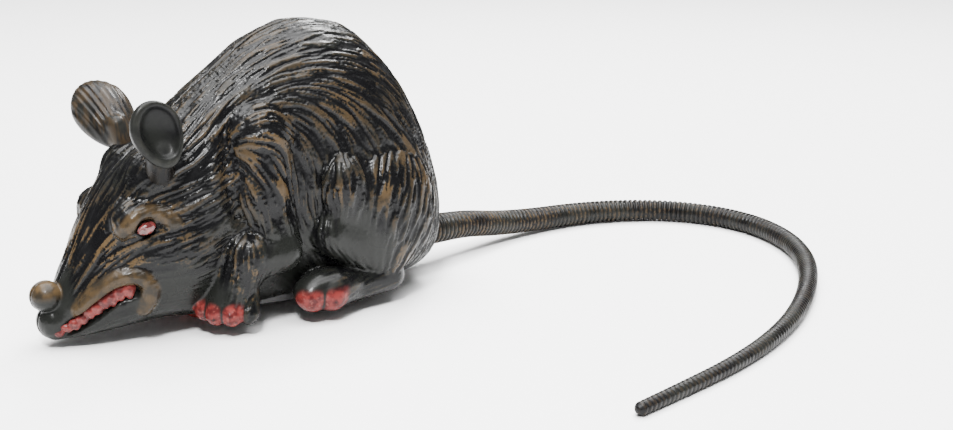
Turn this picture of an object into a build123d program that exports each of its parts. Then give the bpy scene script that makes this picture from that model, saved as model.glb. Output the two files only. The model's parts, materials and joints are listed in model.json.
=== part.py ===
"""Wind-up toy rat: moulded hollow body in two halves, spring motor, key, wheels and a trailing tail.

Millimetres. The rat looks along -X and +Z is up, its right side (the key side) is +Y. The origin is on the
floor under the wheels, on the body's middle plane.
"""

import os
from math import acos, atan2, cos, degrees, hypot, inf, pi, radians, sin, tan

from build123d import *

# Body: each section is (x, bottom, top, height of the widest point, half width).
BODY_SECTIONS = [
    (-70.0, 3.0, 15.0, 8.0, 4.5),
    (-64.0, 2.4, 27.5, 11.0, 8.0),
    (-57.0, 2.5, 41.5, 16.0, 11.5),
    (-48.0, 3.5, 51.5, 22.0, 15.5),
    (-38.0, 3.5, 58.5, 28.0, 19.5),
    (-26.0, 2.0, 69.5, 34.0, 22.0),
    (-12.0, 1.0, 80.0, 38.0, 23.5),
    (3.0, 0.0, 89.0, 40.0, 25.5),
    (17.0, 0.0, 93.0, 40.0, 28.0),
    (31.0, 0.0, 90.5, 38.0, 29.5),
    (44.0, 0.0, 80.5, 34.0, 28.0),
    (54.0, 1.5, 65.0, 30.0, 23.5),
    (61.0, 5.0, 50.0, 25.0, 16.5),
    (65.5, 12.0, 36.0, 24.0, 8.0),
]
FULLNESS_ABOVE = 2.1  # superellipse exponents of a section
FULLNESS_BELOW = 3.2
SECTION_POINTS = 16
WALL = 2.0
BASE_Z = 4.2  # the flat underside
BASE_FROM_X = -44.0  # the jaw in front of this isn't cut flat
CAVITY_FROM_X = -62.0
CAVITY_TO_X = 62.0

# Limbs, given for the left side (-Y).
THIGH = ((33.0, -25.0, 31.0), (22.5, 12.5, 22.5))
SHOULDER = ((-5.0, -19.5, 42.0), (12.0, 9.5, 22.0))
PAW = ((-22.0, -21.0, 7.0), (9.8, 7.6, 6.0))
FOREARM = ((-1.0, -24.5, 20.0), 6.3, (-17.0, -22.5, 10.5), 5.6)
FOOT = ((4.0, -27.5, 8.6), 7.4, (36.0, -26.5, 7.6), 6.2)
NOSE = ((-71.0, 0.0, 16.1), 5.2)
LIP = ((-69.3, 0.0, 7.6), 5.1)

# Ears: a shallow round cup on a stalk that plugs into the head.
EAR_CENTRE = (-42.0, -22.0, 65.5)
EAR_FACING = (-0.2, -0.96, 0.1)
EAR_R = 10.6
EAR_DEPTH = 5.0
EAR_WALL = 1.7
EAR_STALK_R = 3.0
EAR_STALK_TO = (-36.5, -10.5, 51.0)

# Belly plate and the opening that it closes.
PLATE_X = (-32.0, 49.0)
PLATE_FRONT_HALF_W = 8.5  # it widens from its front edge to PLATE_FULL_X
PLATE_HALF_W = 16.0
PLATE_FULL_X = 2.0
PLATE_T = 2.0
PLATE_CORNER_R = 4.0
PLATE_GAP = 0.2
PLATE_TOP = BASE_Z + PLATE_T
PLATE_BOSSES = [(-14.0, 8.4), (44.0, 13.0)]  # one side; the other mirrors them
BOSS_R = 2.9
BOSS_TOP = 14.0
SCREW_R = 1.1
SCREW_HEAD_R = 2.1
SCREW_HEAD_H = 1.3

# Screws that join the two body halves, driven from the right side: (x, z, y of the head's seat).
BODY_SCREWS = [(-36.0, 30.0, 11.0), (-2.0, 76.0, 6.0), (45.0, 66.0, 8.0)]
BODY_BOSS_R = 3.3
BODY_SCREW_END = -7.0

# Spring motor.
MODULE = 0.7
PRESSURE_ANGLE = radians(25)
TOOTH_SLACK = 0.05  # taken off each flank
ADDENDUM, DEDENDUM = 0.85, 1.15
GREAT_TEETH = 48
FIRST_PINION_TEETH, FIRST_WHEEL_TEETH = 12, 30
SECOND_PINION_TEETH, SECOND_WHEEL_TEETH = 10, 20
DRIVE_PINION_TEETH = 12
WHEEL_R = 9.0
WINDING_AT = (10.0, 50.0)
DRIVE_AT = (26.0, WHEEL_R)
SECOND_ANGLE = radians(104)  # direction from the drive axle to the second arbor
FRAME_INSIDE = 9.0  # half the gap between the frame plates
FRAME_T = 1.0
FRAME_X = (-9.5, 36.5)
FRAME_Z = (PLATE_TOP, 69.0)
PILLARS = [(-6.3, 66.0), (33.0, 65.5), (-6.3, 12.0), (33.2, 24.5)]
PILLAR_R = 1.6
FRAME_FOOT_W = 5.0
FRAME_FEET_X = (5.0, 13.0)
RUNNING = 0.05  # radial clearance of a shaft in its hole
WINDING_R = 2.0
ARBOR_R = 1.0
AXLE_R = 1.25

# Places along Y, each (from, to).
SPRING_Y = (-8.4, -0.5)
RATCHET_Y = (0.3, 1.7)
GREAT_Y = (2.0, 3.2)
FIRST_PINION_Y = (1.6, 3.6)
FIRST_WHEEL_Y = (4.0, 5.0)
SECOND_PINION_Y = (3.6, 5.4)
SECOND_WHEEL_Y = (5.8, 6.8)
DRIVE_PINION_Y = (5.4, 7.2)
GREAT_HUB_Y = (3.2, 8.6)
TYRE_Y = (10.9, 14.5)

# Mainspring and click work.
SPRING_TURNS = 7
SPRING_INNER_R = 2.9
SPRING_PITCH = 1.35
SPRING_T = 0.4
STUD_R = 1.2
RATCHET_TEETH = 14
RATCHET_R, RATCHET_ROOT_R = 6.2, 5.0
CLICK_PIVOT_R, CLICK_PIVOT_ANGLE = 10.6, radians(62)
CLICK_TIP_ANGLE = radians(112)
CLICK_TIP_R = RATCHET_R + 0.25

# Drive wheels and front roller.
HUB_R = 6.8
ROLLER_AT = (-22.5, 5.5)
ROLLER_R, ROLLER_HALF_W = 5.5, 3.0
ROLLER_AXLE_R = 1.0
BRACKET_Y = (4.0, 6.0)
SLOT_GAP = 0.8

# Key.
KEY_Y = 36.0
KEY_HUB_R, KEY_HUB_L = 3.2, 9.0
KEY_WING_R, KEY_WING_AT, KEY_WING_T = 7.0, 8.6, 1.6
KEY_WING_HOLE_R = 2.6
KEY_HOLE_R = 3.4

# Tail: a ball in the rump's socket and a long taper that lies on the floor.
TAIL_PIVOT = (52.0, 0.0, 13.6)
TAIL_BALL_R = 7.4
SOCKET_GAP = 0.2
SOCKET_WALL = 2.1
TAIL_SLOT_R = 5.3
TAIL_SWING = 8  # degrees each way
TAIL_ROOT_R, TAIL_TIP_R = 4.6, 1.9
TAIL_ROUTE = [
    (58.0, 0.0, 13.6),
    (73.0, 0.0, 12.6),
    (90.0, 2.5, 9.2),
    (108.0, 6.5, 6.0),
    (128.0, 8.6, 4.7),
    (149.0, 6.6, 4.4),
    (168.0, -0.6, 4.2),
    (184.0, -13.0, 4.1),
    (193.5, -30.5, 4.0),
    (194.5, -50.0, 3.9),
    (186.0, -70.5, 3.8),
    (173.0, -88.0, 3.6),
    (157.0, -103.0, 3.4),
    (138.0, -117.0, 3.1),
    (117.0, -128.5, 2.9),
    (95.0, -137.0, 2.6),
    (73.0, -142.5, 2.3),
    (51.0, -145.8, 2.1),
    (31.0, -149.0, 2.0),
]
ARC_SHARE = 0.45  # of the shorter run, taken by each arc


# ---- small helpers -------------------------------------------------------------------------------------


def rod(x, z, radius, y_from, y_to):
    """A cylinder along Y."""
    return Pos(x, (y_from + y_to) / 2, z) * Rot(90, 0, 0) * Cylinder(radius, y_to - y_from)


def ring(x, z, outer, inner, y_from, y_to):
    return rod(x, z, outer, y_from, y_to) - rod(x, z, inner, y_from - 1, y_to + 1)


def slab(x, y, z):
    """A box given by its (low, high) limits along each axis."""
    return Pos(sum(x) / 2, sum(y) / 2, sum(z) / 2) * Box(x[1] - x[0], y[1] - y[0], z[1] - z[0])


def ellipsoid(centre, radii):
    return Pos(*centre) * scale(Sphere(1), by=radii)


def capsule(start, r_start, end, r_end):
    """Two balls joined by a cone that touches both."""
    a, b = Vector(*start), Vector(*end)
    along = b - a
    lean = (r_start - r_end) / along.length
    shrink = (1 - lean * lean) ** 0.5
    axis = along.normalized()
    base = Plane(origin=a + axis * (r_start * lean), z_dir=axis)
    length = along.length - (r_start - r_end) * lean
    cone = base * Pos(0, 0, length / 2) * Cone(r_start * shrink, r_end * shrink, length)
    return Pos(*start) * Sphere(r_start) + cone + Pos(*end) * Sphere(r_end)


def extruded(points, y):
    """The closed outline of (x, z) points, made solid between two places along Y."""
    wire = Wire.make_polygon([(px, y[0], pz) for px, pz in points], close=True)
    return extrude(Face(wire), amount=y[1] - y[0], dir=(0, 1, 0))


def polar(centre, radius, angle):
    return centre[0] + radius * cos(angle), centre[1] + radius * sin(angle)


def heading(start, end):
    return atan2(end[1] - start[1], end[0] - start[0])


# ---- body ----------------------------------------------------------------------------------------------


def section(x, bottom, top, widest, half_w, inset=0.0):
    """One closed curve across the body: a superellipse that is fuller below its widest point."""
    points = []
    for i in range(SECTION_POINTS):
        turn = 2 * pi * i / SECTION_POINTS
        c, s = cos(turn), sin(turn)
        power = 2 / (FULLNESS_ABOVE if s > 0 else FULLNESS_BELOW)
        reach = (top - widest if s > 0 else widest - bottom) - inset
        y = (half_w - inset) * abs(c) ** power * (1 if c > 0 else -1)
        z = widest + reach * abs(s) ** power * (1 if s > 0 else -1)
        points.append((x, y, z))
    return Face(Wire(Spline(*points, periodic=True)))


def trunk(inset=0.0):
    low, high = (-inf, inf) if not inset else (CAVITY_FROM_X, CAVITY_TO_X)
    return loft([section(*s, inset=inset) for s in BODY_SECTIONS if low < s[0] < high])


def above(z, from_x=-200.0):
    return slab((from_x, 300.0), (-100.0, 100.0), (z, 300.0))


LEFT_SIDE = slab((-100.0, 100.0), (-100.0, 0.0), (-60.0, 140.0))


def body_outside():
    """The left half of the outer shape, solid."""
    flat = slab((BASE_FROM_X, 300.0), (-100.0, 100.0), (-50.0, BASE_Z))
    shape = (trunk() & LEFT_SIDE) - flat
    for centre, radii in (THIGH, SHOULDER, PAW):
        shape = shape + ellipsoid(centre, radii)
    for limb in (FOREARM, FOOT):
        shape = shape + capsule(*limb)
    for centre, radius in (NOSE, LIP):
        shape = shape + (Pos(*centre) * Sphere(radius) & LEFT_SIDE)
    return shape


def body_inside():
    hollow = trunk(inset=WALL) & LEFT_SIDE & above(PLATE_TOP + 0.2)
    return hollow + ellipsoid(THIGH[0], tuple(r - WALL for r in THIGH[1]))


def plate_outline(grow, z):
    """The belly plate's outline, grown a little for the opening that it fits."""
    front, back = PLATE_X[0] - grow, PLATE_X[1] + grow
    half = [(front, PLATE_FRONT_HALF_W + grow), (PLATE_FULL_X, PLATE_HALF_W + grow), (back, PLATE_HALF_W + grow)]
    outline = half + [(x, -y) for x, y in reversed(half)]
    face = Face(Wire.make_polygon([(x, y, z[0]) for x, y in outline], close=True))
    block = extrude(face, amount=z[1] - z[0], dir=(0, 0, 1))
    return fillet(block.edges().filter_by(Axis.Z), PLATE_CORNER_R + grow)


def body_bosses():
    """Bosses for the belly screws, each with a rib to the wall, and for the screws that join the halves."""
    shapes = []
    for x, y in PLATE_BOSSES:
        height = BOSS_TOP - PLATE_TOP
        post = Pos(x, -y, PLATE_TOP + height / 2) * Cylinder(BOSS_R, height)
        rib = slab((x - 1, x + 1), (-30.0, -y), (PLATE_TOP + 0.2, BOSS_TOP))
        shapes.append(post + rib)
    for x, z, _ in BODY_SCREWS:
        shapes.append(rod(x, z, BODY_BOSS_R, -40.0, 0.0))
    socket = Pos(*TAIL_PIVOT) * Sphere(TAIL_BALL_R + SOCKET_GAP + SOCKET_WALL)
    return shapes + [socket & LEFT_SIDE]


def tail_slot():
    """The flared slot that the tail swings in where it leaves the rump."""
    x, _, z = TAIL_PIVOT
    spread = tan(radians(TAIL_SWING))
    outline = [(x + 1.0, TAIL_SLOT_R), (x + 4.0, TAIL_SLOT_R + 0.8), (x + 25.0, TAIL_SLOT_R + 25.0 * spread)]
    outline += [(px, -py) for px, py in reversed(outline)]
    low, high = z - TAIL_SLOT_R - 0.5, z + TAIL_SLOT_R
    face = Face(Wire.make_polygon([(px, py, low) for px, py in outline], close=True))
    return extrude(face, amount=high - low, dir=(0, 0, 1))


def ear_stalk():
    a, b = Vector(*EAR_CENTRE), Vector(*EAR_STALK_TO)
    axis = (b - a).normalized()
    start = a + axis * 2.0
    length = (b - start).length
    return Plane(origin=start, z_dir=axis) * Pos(0, 0, length / 2) * Cylinder(EAR_STALK_R, length)


def shared_holes():
    """What is cut out of either half."""
    shapes = [plate_outline(PLATE_GAP, (-50.0, PLATE_TOP + 0.2))]
    shapes += [Pos(x, -y, 0) * Cylinder(SCREW_R, 2 * (BOSS_TOP - 1.5)) for x, y in PLATE_BOSSES]
    shapes.append(Pos(*TAIL_PIVOT) * Sphere(TAIL_BALL_R + SOCKET_GAP))
    shapes.append(slab((30.0, TAIL_PIVOT[0] - 3.5), (-15.0, 15.0), (PLATE_TOP + 0.2, 26.0)))
    shapes.append(tail_slot())
    shapes.append(ear_stalk())
    return shapes


def body_half(side):
    """One half, worked out on the left and mirrored for the right, which has the screw and key holes."""
    outside = body_outside()
    shape = outside - body_inside()
    for boss in body_bosses():
        shape = shape + (boss & outside)
    for hole in shared_holes():
        shape = shape - hole
    for x, z, seat in BODY_SCREWS:
        if side < 0:
            shape = shape - rod(x, z, SCREW_R, BODY_SCREW_END - 1, 1.0)
        else:
            shape = shape - rod(x, z, SCREW_R, -seat - 1, 1.0)
            shape = shape - rod(x, z, SCREW_HEAD_R + 0.4, -60.0, -seat)
    if side > 0:
        shape = shape - rod(*WINDING_AT, KEY_HOLE_R, -60.0, -5.0)
    half = biggest(shape)
    return half if side < 0 else half.mirror(Plane.XZ)


def biggest(shape):
    return max(shape.solids(), key=lambda s: s.volume)


def ear(side):
    """A cup turned about the way that the ear faces, on its stalk."""
    facing = Vector(*EAR_FACING).normalized()
    ball_r = (EAR_R**2 + EAR_DEPTH**2) / (2 * EAR_DEPTH)
    plane = Plane(origin=Vector(*EAR_CENTRE) + facing * (EAR_DEPTH / 2), z_dir=facing)
    outer = Pos(0, 0, ball_r - EAR_DEPTH) * Sphere(ball_r)
    inner = Pos(0, 0, ball_r - EAR_DEPTH + EAR_WALL) * Sphere(ball_r - EAR_WALL * 0.35)
    cap = Pos(0, 0, -EAR_DEPTH) * Cylinder(EAR_R + 5, 2 * EAR_DEPTH)
    dish = plane * ((outer & cap) - inner)
    hollow = plane * inner
    cup = biggest(dish + (ear_stalk() - hollow))
    return cup if side < 0 else cup.mirror(Plane.XZ)


# ---- belly plate ---------------------------------------------------------------------------------------


def frame_feet():
    """Middle of each frame foot's screw: (x, y)."""
    y = FRAME_INSIDE + FRAME_T + FRAME_FOOT_W / 2
    return [(x, side * y) for x in FRAME_FEET_X for side in (-1, 1)]


def plate_screws():
    return [(x, side * y) for x, y in PLATE_BOSSES for side in (-1, 1)]


def belly_plate():
    shape = plate_outline(0.0, (BASE_Z, PLATE_TOP))
    reach = (WHEEL_R**2 - (WHEEL_R - PLATE_TOP) ** 2) ** 0.5 + SLOT_GAP
    for side in (-1, 1):
        y = sorted((side * (TYRE_Y[0] - 0.5), side * (TYRE_Y[1] + 0.5)))
        shape -= slab((DRIVE_AT[0] - reach, DRIVE_AT[0] + reach), y, (0, 20))
        bracket = sorted((side * BRACKET_Y[0], side * BRACKET_Y[1]))
        lug = slab((ROLLER_AT[0] - 3, ROLLER_AT[0] + 3), bracket, (BASE_Z, ROLLER_AT[1] + 3.2))
        shape += lug
    half_w = ROLLER_HALF_W + 0.6
    reach = (ROLLER_R**2 - (ROLLER_AT[1] - PLATE_TOP) ** 2) ** 0.5 + SLOT_GAP
    shape -= slab((ROLLER_AT[0] - reach, ROLLER_AT[0] + reach), (-half_w, half_w), (0, 20))
    shape -= rod(*ROLLER_AT, ROLLER_AXLE_R, -BRACKET_Y[1] - 1, BRACKET_Y[1] + 1)
    pinion_y = (DRIVE_PINION_Y[0] - 0.5, DRIVE_PINION_Y[1] + 0.5)
    shape -= slab((DRIVE_AT[0] - 4.0, DRIVE_AT[0] + 4.0), pinion_y, (0, 20))
    for x, y in plate_screws() + frame_feet():
        shape -= Pos(x, y, 0) * Cylinder(SCREW_R + 0.15, 20)
        shape -= Pos(x, y, BASE_Z) * Cylinder(SCREW_HEAD_R + 0.3, 2 * SCREW_HEAD_H * 0.8)
    return shape


def screw_up(x, y, top):
    """A pan-head screw that points up, its head sunk in the belly plate."""
    seat = BASE_Z + SCREW_HEAD_H * 0.8
    head = Pos(x, y, seat - SCREW_HEAD_H / 2) * Cylinder(SCREW_HEAD_R, SCREW_HEAD_H)
    head -= Pos(x, y, seat - SCREW_HEAD_H) * Box(3.0, 0.5, 1.0)
    head -= Pos(x, y, seat - SCREW_HEAD_H) * Box(0.5, 3.0, 1.0)
    return head + Pos(x, y, (seat + top) / 2) * Cylinder(SCREW_R, top - seat)


def body_screw(x, z, seat):
    head = rod(x, z, SCREW_HEAD_R, seat, seat + SCREW_HEAD_H)
    top = seat + SCREW_HEAD_H
    head -= slab((x - 1.5, x + 1.5), (top - 0.5, top + 1), (z - 0.25, z + 0.25))
    head -= slab((x - 0.25, x + 0.25), (top - 0.5, top + 1), (z - 1.5, z + 1.5))
    return head + rod(x, z, SCREW_R, BODY_SCREW_END, seat)


# ---- gears ---------------------------------------------------------------------------------------------


def pitch_r(teeth):
    return MODULE * teeth / 2


def involute_roll(angle):
    return tan(angle) - angle


def gear(at, teeth, tooth_heading, y, bore):
    """An involute spur gear with one tooth centred on the given heading."""
    pitch = pitch_r(teeth)
    base = pitch * cos(PRESSURE_ANGLE)
    tip, root = pitch + ADDENDUM * MODULE, pitch - DEDENDUM * MODULE
    half_tooth = pi / (2 * teeth) - TOOTH_SLACK / pitch
    steps = [max(base, root) + (tip - max(base, root)) * k / 3 for k in range(4)]
    flank = []
    for radius in steps:
        pressure = acos(min(1.0, base / radius))
        flank.append((radius, half_tooth + involute_roll(PRESSURE_ANGLE) - involute_roll(pressure)))
    if root < base:
        flank.insert(0, (root, flank[0][1]))
    outline = []
    for tooth in range(teeth):
        middle = tooth_heading + 2 * pi * tooth / teeth
        outline += [polar(at, r, middle - half) for r, half in flank]
        outline += [polar(at, r, middle + half) for r, half in reversed(flank)]
    return extruded(outline, y) - rod(*at, bore, y[0] - 1, y[1] + 1)


def gap_towards(teeth, direction):
    """A tooth heading that leaves a gap facing the given direction."""
    return direction + pi / teeth


def meet(a, reach_a, b, reach_b, side):
    """The point at the given distances from two others, on one side of the line between them."""
    apart = hypot(b[0] - a[0], b[1] - a[1])
    along = (apart**2 + reach_a**2 - reach_b**2) / (2 * apart)
    off = (reach_a**2 - along**2) ** 0.5 * side
    ux, uz = (b[0] - a[0]) / apart, (b[1] - a[1]) / apart
    return a[0] + ux * along - uz * off, a[1] + uz * along + ux * off


def centre_distance(teeth_a, teeth_b):
    return pitch_r(teeth_a) + pitch_r(teeth_b)


SECOND_AT = polar(DRIVE_AT, centre_distance(SECOND_WHEEL_TEETH, DRIVE_PINION_TEETH), SECOND_ANGLE)
FIRST_AT = meet(
    WINDING_AT,
    centre_distance(GREAT_TEETH, FIRST_PINION_TEETH),
    SECOND_AT,
    centre_distance(FIRST_WHEEL_TEETH, SECOND_PINION_TEETH),
    -1,
)


def great_wheel():
    shape = gear(WINDING_AT, GREAT_TEETH, heading(WINDING_AT, FIRST_AT), GREAT_Y, WINDING_R + RUNNING)
    shape += ring(*WINDING_AT, 4.0, WINDING_R + RUNNING, *GREAT_HUB_Y)
    for i in range(5):
        hole = polar(WINDING_AT, 11.4, CLICK_PIVOT_ANGLE + radians(72) * (i + 0.5))
        shape -= rod(*hole, 2.9, GREAT_Y[0] - 1, GREAT_Y[1] + 1)
    return shape


def ratchet_wheel():
    """A saw-toothed wheel fixed on the winding arbor."""
    outline = []
    for tooth in range(RATCHET_TEETH):
        start = 2 * pi * tooth / RATCHET_TEETH
        outline.append(polar(WINDING_AT, RATCHET_ROOT_R, start - 0.12))
        outline.append(polar(WINDING_AT, RATCHET_R, start))
    return extruded(outline, RATCHET_Y) - rod(*WINDING_AT, WINDING_R, -1, 3)


CLICK_PIVOT = polar(WINDING_AT, CLICK_PIVOT_R, CLICK_PIVOT_ANGLE)


def click():
    """The pawl on the great wheel, its tip just clear of the ratchet's teeth."""
    tip = polar(WINDING_AT, CLICK_TIP_R, CLICK_TIP_ANGLE)
    way = heading(CLICK_PIVOT, tip)
    out, back = way - pi / 2, way + pi / 2
    blade = [polar(CLICK_PIVOT, 1.9, out), polar(tip, 1.5, out), tip, polar(CLICK_PIVOT, 1.4, back)]
    shape = extruded(blade, RATCHET_Y) + rod(*CLICK_PIVOT, 2.0, *RATCHET_Y)
    return shape - rod(*CLICK_PIVOT, 0.8 + RUNNING, -1, 3)


def click_rivet():
    return rod(*CLICK_PIVOT, 0.8, RATCHET_Y[0] - 0.3, GREAT_Y[0]) + rod(*CLICK_PIVOT, 1.4, -0.15, 0.2)


def click_spring():
    """A bent wire that stands on the great wheel, its free end just behind the click."""
    post, bend, end = [polar(WINDING_AT, r, radians(a)) for r, a in ((15.0, 128), (13.0, 104), (10.1, 86))]
    width, y = 0.25, (0.7, 1.3)
    shape = rod(*post, 0.7, 0.5, GREAT_Y[0]) + rod(*bend, width, *y)
    for a, b in ((post, bend), (bend, end)):
        side = heading(a, b) + pi / 2
        near, far = polar(a, width, side), polar(b, width, side)
        shape += extruded([near, far, polar(b, -width, side), polar(a, -width, side)], y)
    return shape


def mainspring():
    """A spiral strip of half-circle arcs, whose centres alternate so that each arc is tangent to the last."""
    step = SPRING_PITCH / 2
    sides = []
    for offset in (-SPRING_T / 2, SPRING_T / 2):
        edges, radius = [], SPRING_INNER_R + SPRING_T / 2
        x_start = WINDING_AT[0] + radius
        for half in range(2 * SPRING_TURNS):
            sign = 1 if half % 2 == 0 else -1
            x_mid = x_start - sign * radius
            r = radius + offset
            z = WINDING_AT[1]
            points = [(x_mid + sign * r, z), (x_mid, z + sign * r), (x_mid - sign * r, z)]
            edges.append(ThreePointArc(*[(px, SPRING_Y[0], pz) for px, pz in points]))
            x_start = x_mid - sign * radius
            radius += step
        sides.append(edges)
    inner, outer = sides
    ends = [Line(inner[i] @ k, outer[i] @ k) for i, k in ((0, 0), (-1, 1))]
    wire = Wire(inner + [ends[1]] + outer + [ends[0]])
    strip = extrude(Face(wire), amount=SPRING_Y[1] - SPRING_Y[0], dir=(0, 1, 0))
    x, z = WINDING_AT
    tongue_x = (x + WINDING_R + 0.03, x + SPRING_INNER_R + SPRING_T / 2)
    return strip + slab(tongue_x, (-6.0, -3.0), (z - 0.2, z + 0.2))


def spring_stud():
    """The post on the left plate that holds the spring's outer end."""
    end_x = WINDING_AT[0] + SPRING_INNER_R + SPRING_T / 2 + SPRING_TURNS * SPRING_PITCH
    x, z = end_x + SPRING_T / 2 + STUD_R + 0.05, WINDING_AT[1]
    shape = rod(x, z, STUD_R, -FRAME_INSIDE, SPRING_Y[1])
    return shape + rod(x, z, STUD_R * 0.6, -FRAME_INSIDE - FRAME_T, -FRAME_INSIDE)


# ---- motor frame, shafts and wheels --------------------------------------------------------------------


def frame_plate(side):
    y = sorted((side * FRAME_INSIDE, side * (FRAME_INSIDE + FRAME_T)))
    shape = slab(FRAME_X, y, FRAME_Z)
    shape = fillet(shape.edges().filter_by(Axis.Y), 4.0)
    foot_y = sorted((side * FRAME_INSIDE, side * (FRAME_INSIDE + FRAME_T + FRAME_FOOT_W)))
    foot_x = (FRAME_FEET_X[0] - 3.5, FRAME_FEET_X[1] + 3.5)
    shape += slab(foot_x, foot_y, (PLATE_TOP, PLATE_TOP + FRAME_T))
    holes = [(WINDING_AT, WINDING_R), (FIRST_AT, ARBOR_R), (SECOND_AT, ARBOR_R), (DRIVE_AT, AXLE_R)]
    for at, radius in holes:
        shape -= rod(*at, radius + RUNNING, y[0] - 1, y[1] + 1)
    for at in PILLARS:
        shape -= rod(*at, PILLAR_R * 0.6, y[0] - 1, y[1] + 1)
    for x, foot in frame_feet():
        shape -= Pos(x, foot, PLATE_TOP) * Cylinder(SCREW_R, 10)
    if side < 0:
        stud_x = spring_stud().center().X
        shape -= rod(stud_x, WINDING_AT[1], STUD_R * 0.6, y[0] - 1, y[1] + 1)
    shape -= slab((-5.0, 5.0), (y[0] - 1, y[1] + 1), (14.0, 34.0))
    return shape


def pillar(x, z):
    end = FRAME_INSIDE + FRAME_T
    shape = rod(x, z, PILLAR_R, -FRAME_INSIDE, FRAME_INSIDE)
    shape += rod(x, z, PILLAR_R * 0.6, -end - 0.6, end + 0.6)
    return shape


def arbor(at):
    end = FRAME_INSIDE + FRAME_T + 0.3
    return rod(*at, ARBOR_R, -end, end)


def winding_arbor():
    shape = rod(*WINDING_AT, WINDING_R, -FRAME_INSIDE - FRAME_T - 1.0, KEY_Y + KEY_HUB_L - 1.5)
    shape += ring(*WINDING_AT, 3.0, WINDING_R - 0.5, -10.9, -FRAME_INSIDE - FRAME_T - 0.1)
    return shape


def winding_key():
    """A two-winged key with a round hub on the end of the arbor."""
    x, z = WINDING_AT
    hub = rod(x, z, KEY_HUB_R, KEY_Y, KEY_Y + KEY_HUB_L)
    wings = None
    wing_y = KEY_Y + KEY_HUB_L + KEY_WING_R - 3.0
    for side in (-1, 1):
        centre = x + side * KEY_WING_AT
        wing = Pos(centre, wing_y, z) * Cylinder(KEY_WING_R, KEY_WING_T)
        arm = slab(sorted((x, centre)), (KEY_Y + 2.0, wing_y + 1.5), (z - KEY_WING_T / 2, z + KEY_WING_T / 2))
        hole = Pos(centre + side * 0.8, wing_y, z) * Cylinder(KEY_WING_HOLE_R, 5)
        wing = wing + arm - hole
        wings = wing if wings is None else wings + wing
    return hub + wings - rod(x, z, WINDING_R, KEY_Y - 1, KEY_Y + KEY_HUB_L - 1.5)


def drive_hub(side):
    y = sorted((side * TYRE_Y[0], side * TYRE_Y[1]))
    shape = ring(*DRIVE_AT, HUB_R, AXLE_R, *y)
    outer = side * TYRE_Y[1]
    dish = sorted((outer - side * 1.2, outer + side * 1))
    shape -= ring(*DRIVE_AT, HUB_R - 1.2, 2.6, *dish)
    for i in range(5):
        hole = polar(DRIVE_AT, 4.1, radians(72) * i)
        shape -= rod(*hole, 0.9, y[0] - 1, y[1] + 1)
    return shape


def drive_tyre(side):
    y = sorted((side * TYRE_Y[0], side * TYRE_Y[1]))
    shape = ring(*DRIVE_AT, WHEEL_R, HUB_R, *y)
    tread = [e for e in shape.edges().filter_by(GeomType.CIRCLE) if e.radius > WHEEL_R - 0.01]
    return fillet(tread, 0.5)


def roller():
    shape = ring(*ROLLER_AT, ROLLER_R, ROLLER_AXLE_R + RUNNING, -ROLLER_HALF_W, ROLLER_HALF_W)
    rim = [e for e in shape.edges().filter_by(GeomType.CIRCLE) if e.radius > ROLLER_R - 0.01]
    return fillet(rim, 0.6)


# ---- tail ----------------------------------------------------------------------------------------------


def tail_radius(share):
    """Radius of the tail at a share of its length: thick at the root, thin at the tip."""
    return TAIL_ROOT_R + (TAIL_TIP_R - TAIL_ROOT_R) * share**1.25


def tail_arcs():
    """The route's corners: where each arc starts and ends, and its radius."""
    route = [Vector(*p) for p in TAIL_ROUTE]
    arcs = []
    for a, b, c in zip(route, route[1:], route[2:]):
        into, out = (b - a), (c - b)
        half_turn = radians(into.get_angle(out)) / 2
        take = ARC_SHARE * min(into.length, out.length)
        radius = take / tan(half_turn)
        arcs.append((b - into.normalized() * take, b, b + out.normalized() * take, radius))
    return arcs


def tail():
    """Straight cones between round bends, each bend a swept disc, and a rounded tip."""
    arcs = tail_arcs()
    print("tail bend radii", [round(a[3], 1) for a in arcs])
    marks = len(arcs) + 1
    radii = [tail_radius(i / marks) for i in range(marks + 1)]
    starts = [Vector(*TAIL_ROUTE[0])] + [a[2] for a in arcs]
    ends = [a[0] for a in arcs] + [Vector(*TAIL_ROUTE[-1])]
    shape = None
    for i, (start, end) in enumerate(zip(starts, ends)):
        way = (end - start).normalized()
        length = (end - start).length
        cone = Plane(origin=start, z_dir=way) * Pos(0, 0, length / 2) * Cone(radii[i], radii[i + 1], length)
        shape = cone if shape is None else shape + cone
        if i < len(arcs):
            first, corner, last, radius = arcs[i]
            half = (first - corner).get_angle(last - corner) / 2
            centre = corner + ((first + last) * 0.5 - corner).normalized() * (radius / sin(radians(half)))
            middle = centre + (corner - centre).normalized() * radius
            path = ThreePointArc(first, middle, last)
            disc = Plane(origin=first, z_dir=way) * Circle(radii[i + 1])
            shape = shape + sweep(disc, path=path)
    return shape + Pos(*TAIL_ROUTE[-1]) * Sphere(radii[-1])


def tail_ball():
    """The ball, flat where the tail starts."""
    start, way = Vector(*TAIL_ROUTE[0]), Vector(*TAIL_ROUTE[1]) - Vector(*TAIL_ROUTE[0])
    face = Plane(origin=start, z_dir=way.normalized())
    beyond = face * Pos(0, 0, 10) * Cylinder(12.0, 20.0)
    return Pos(*TAIL_PIVOT) * Sphere(TAIL_BALL_R) - beyond


# ---- all nodes -----------------------------------------------------------------------------------------


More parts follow.
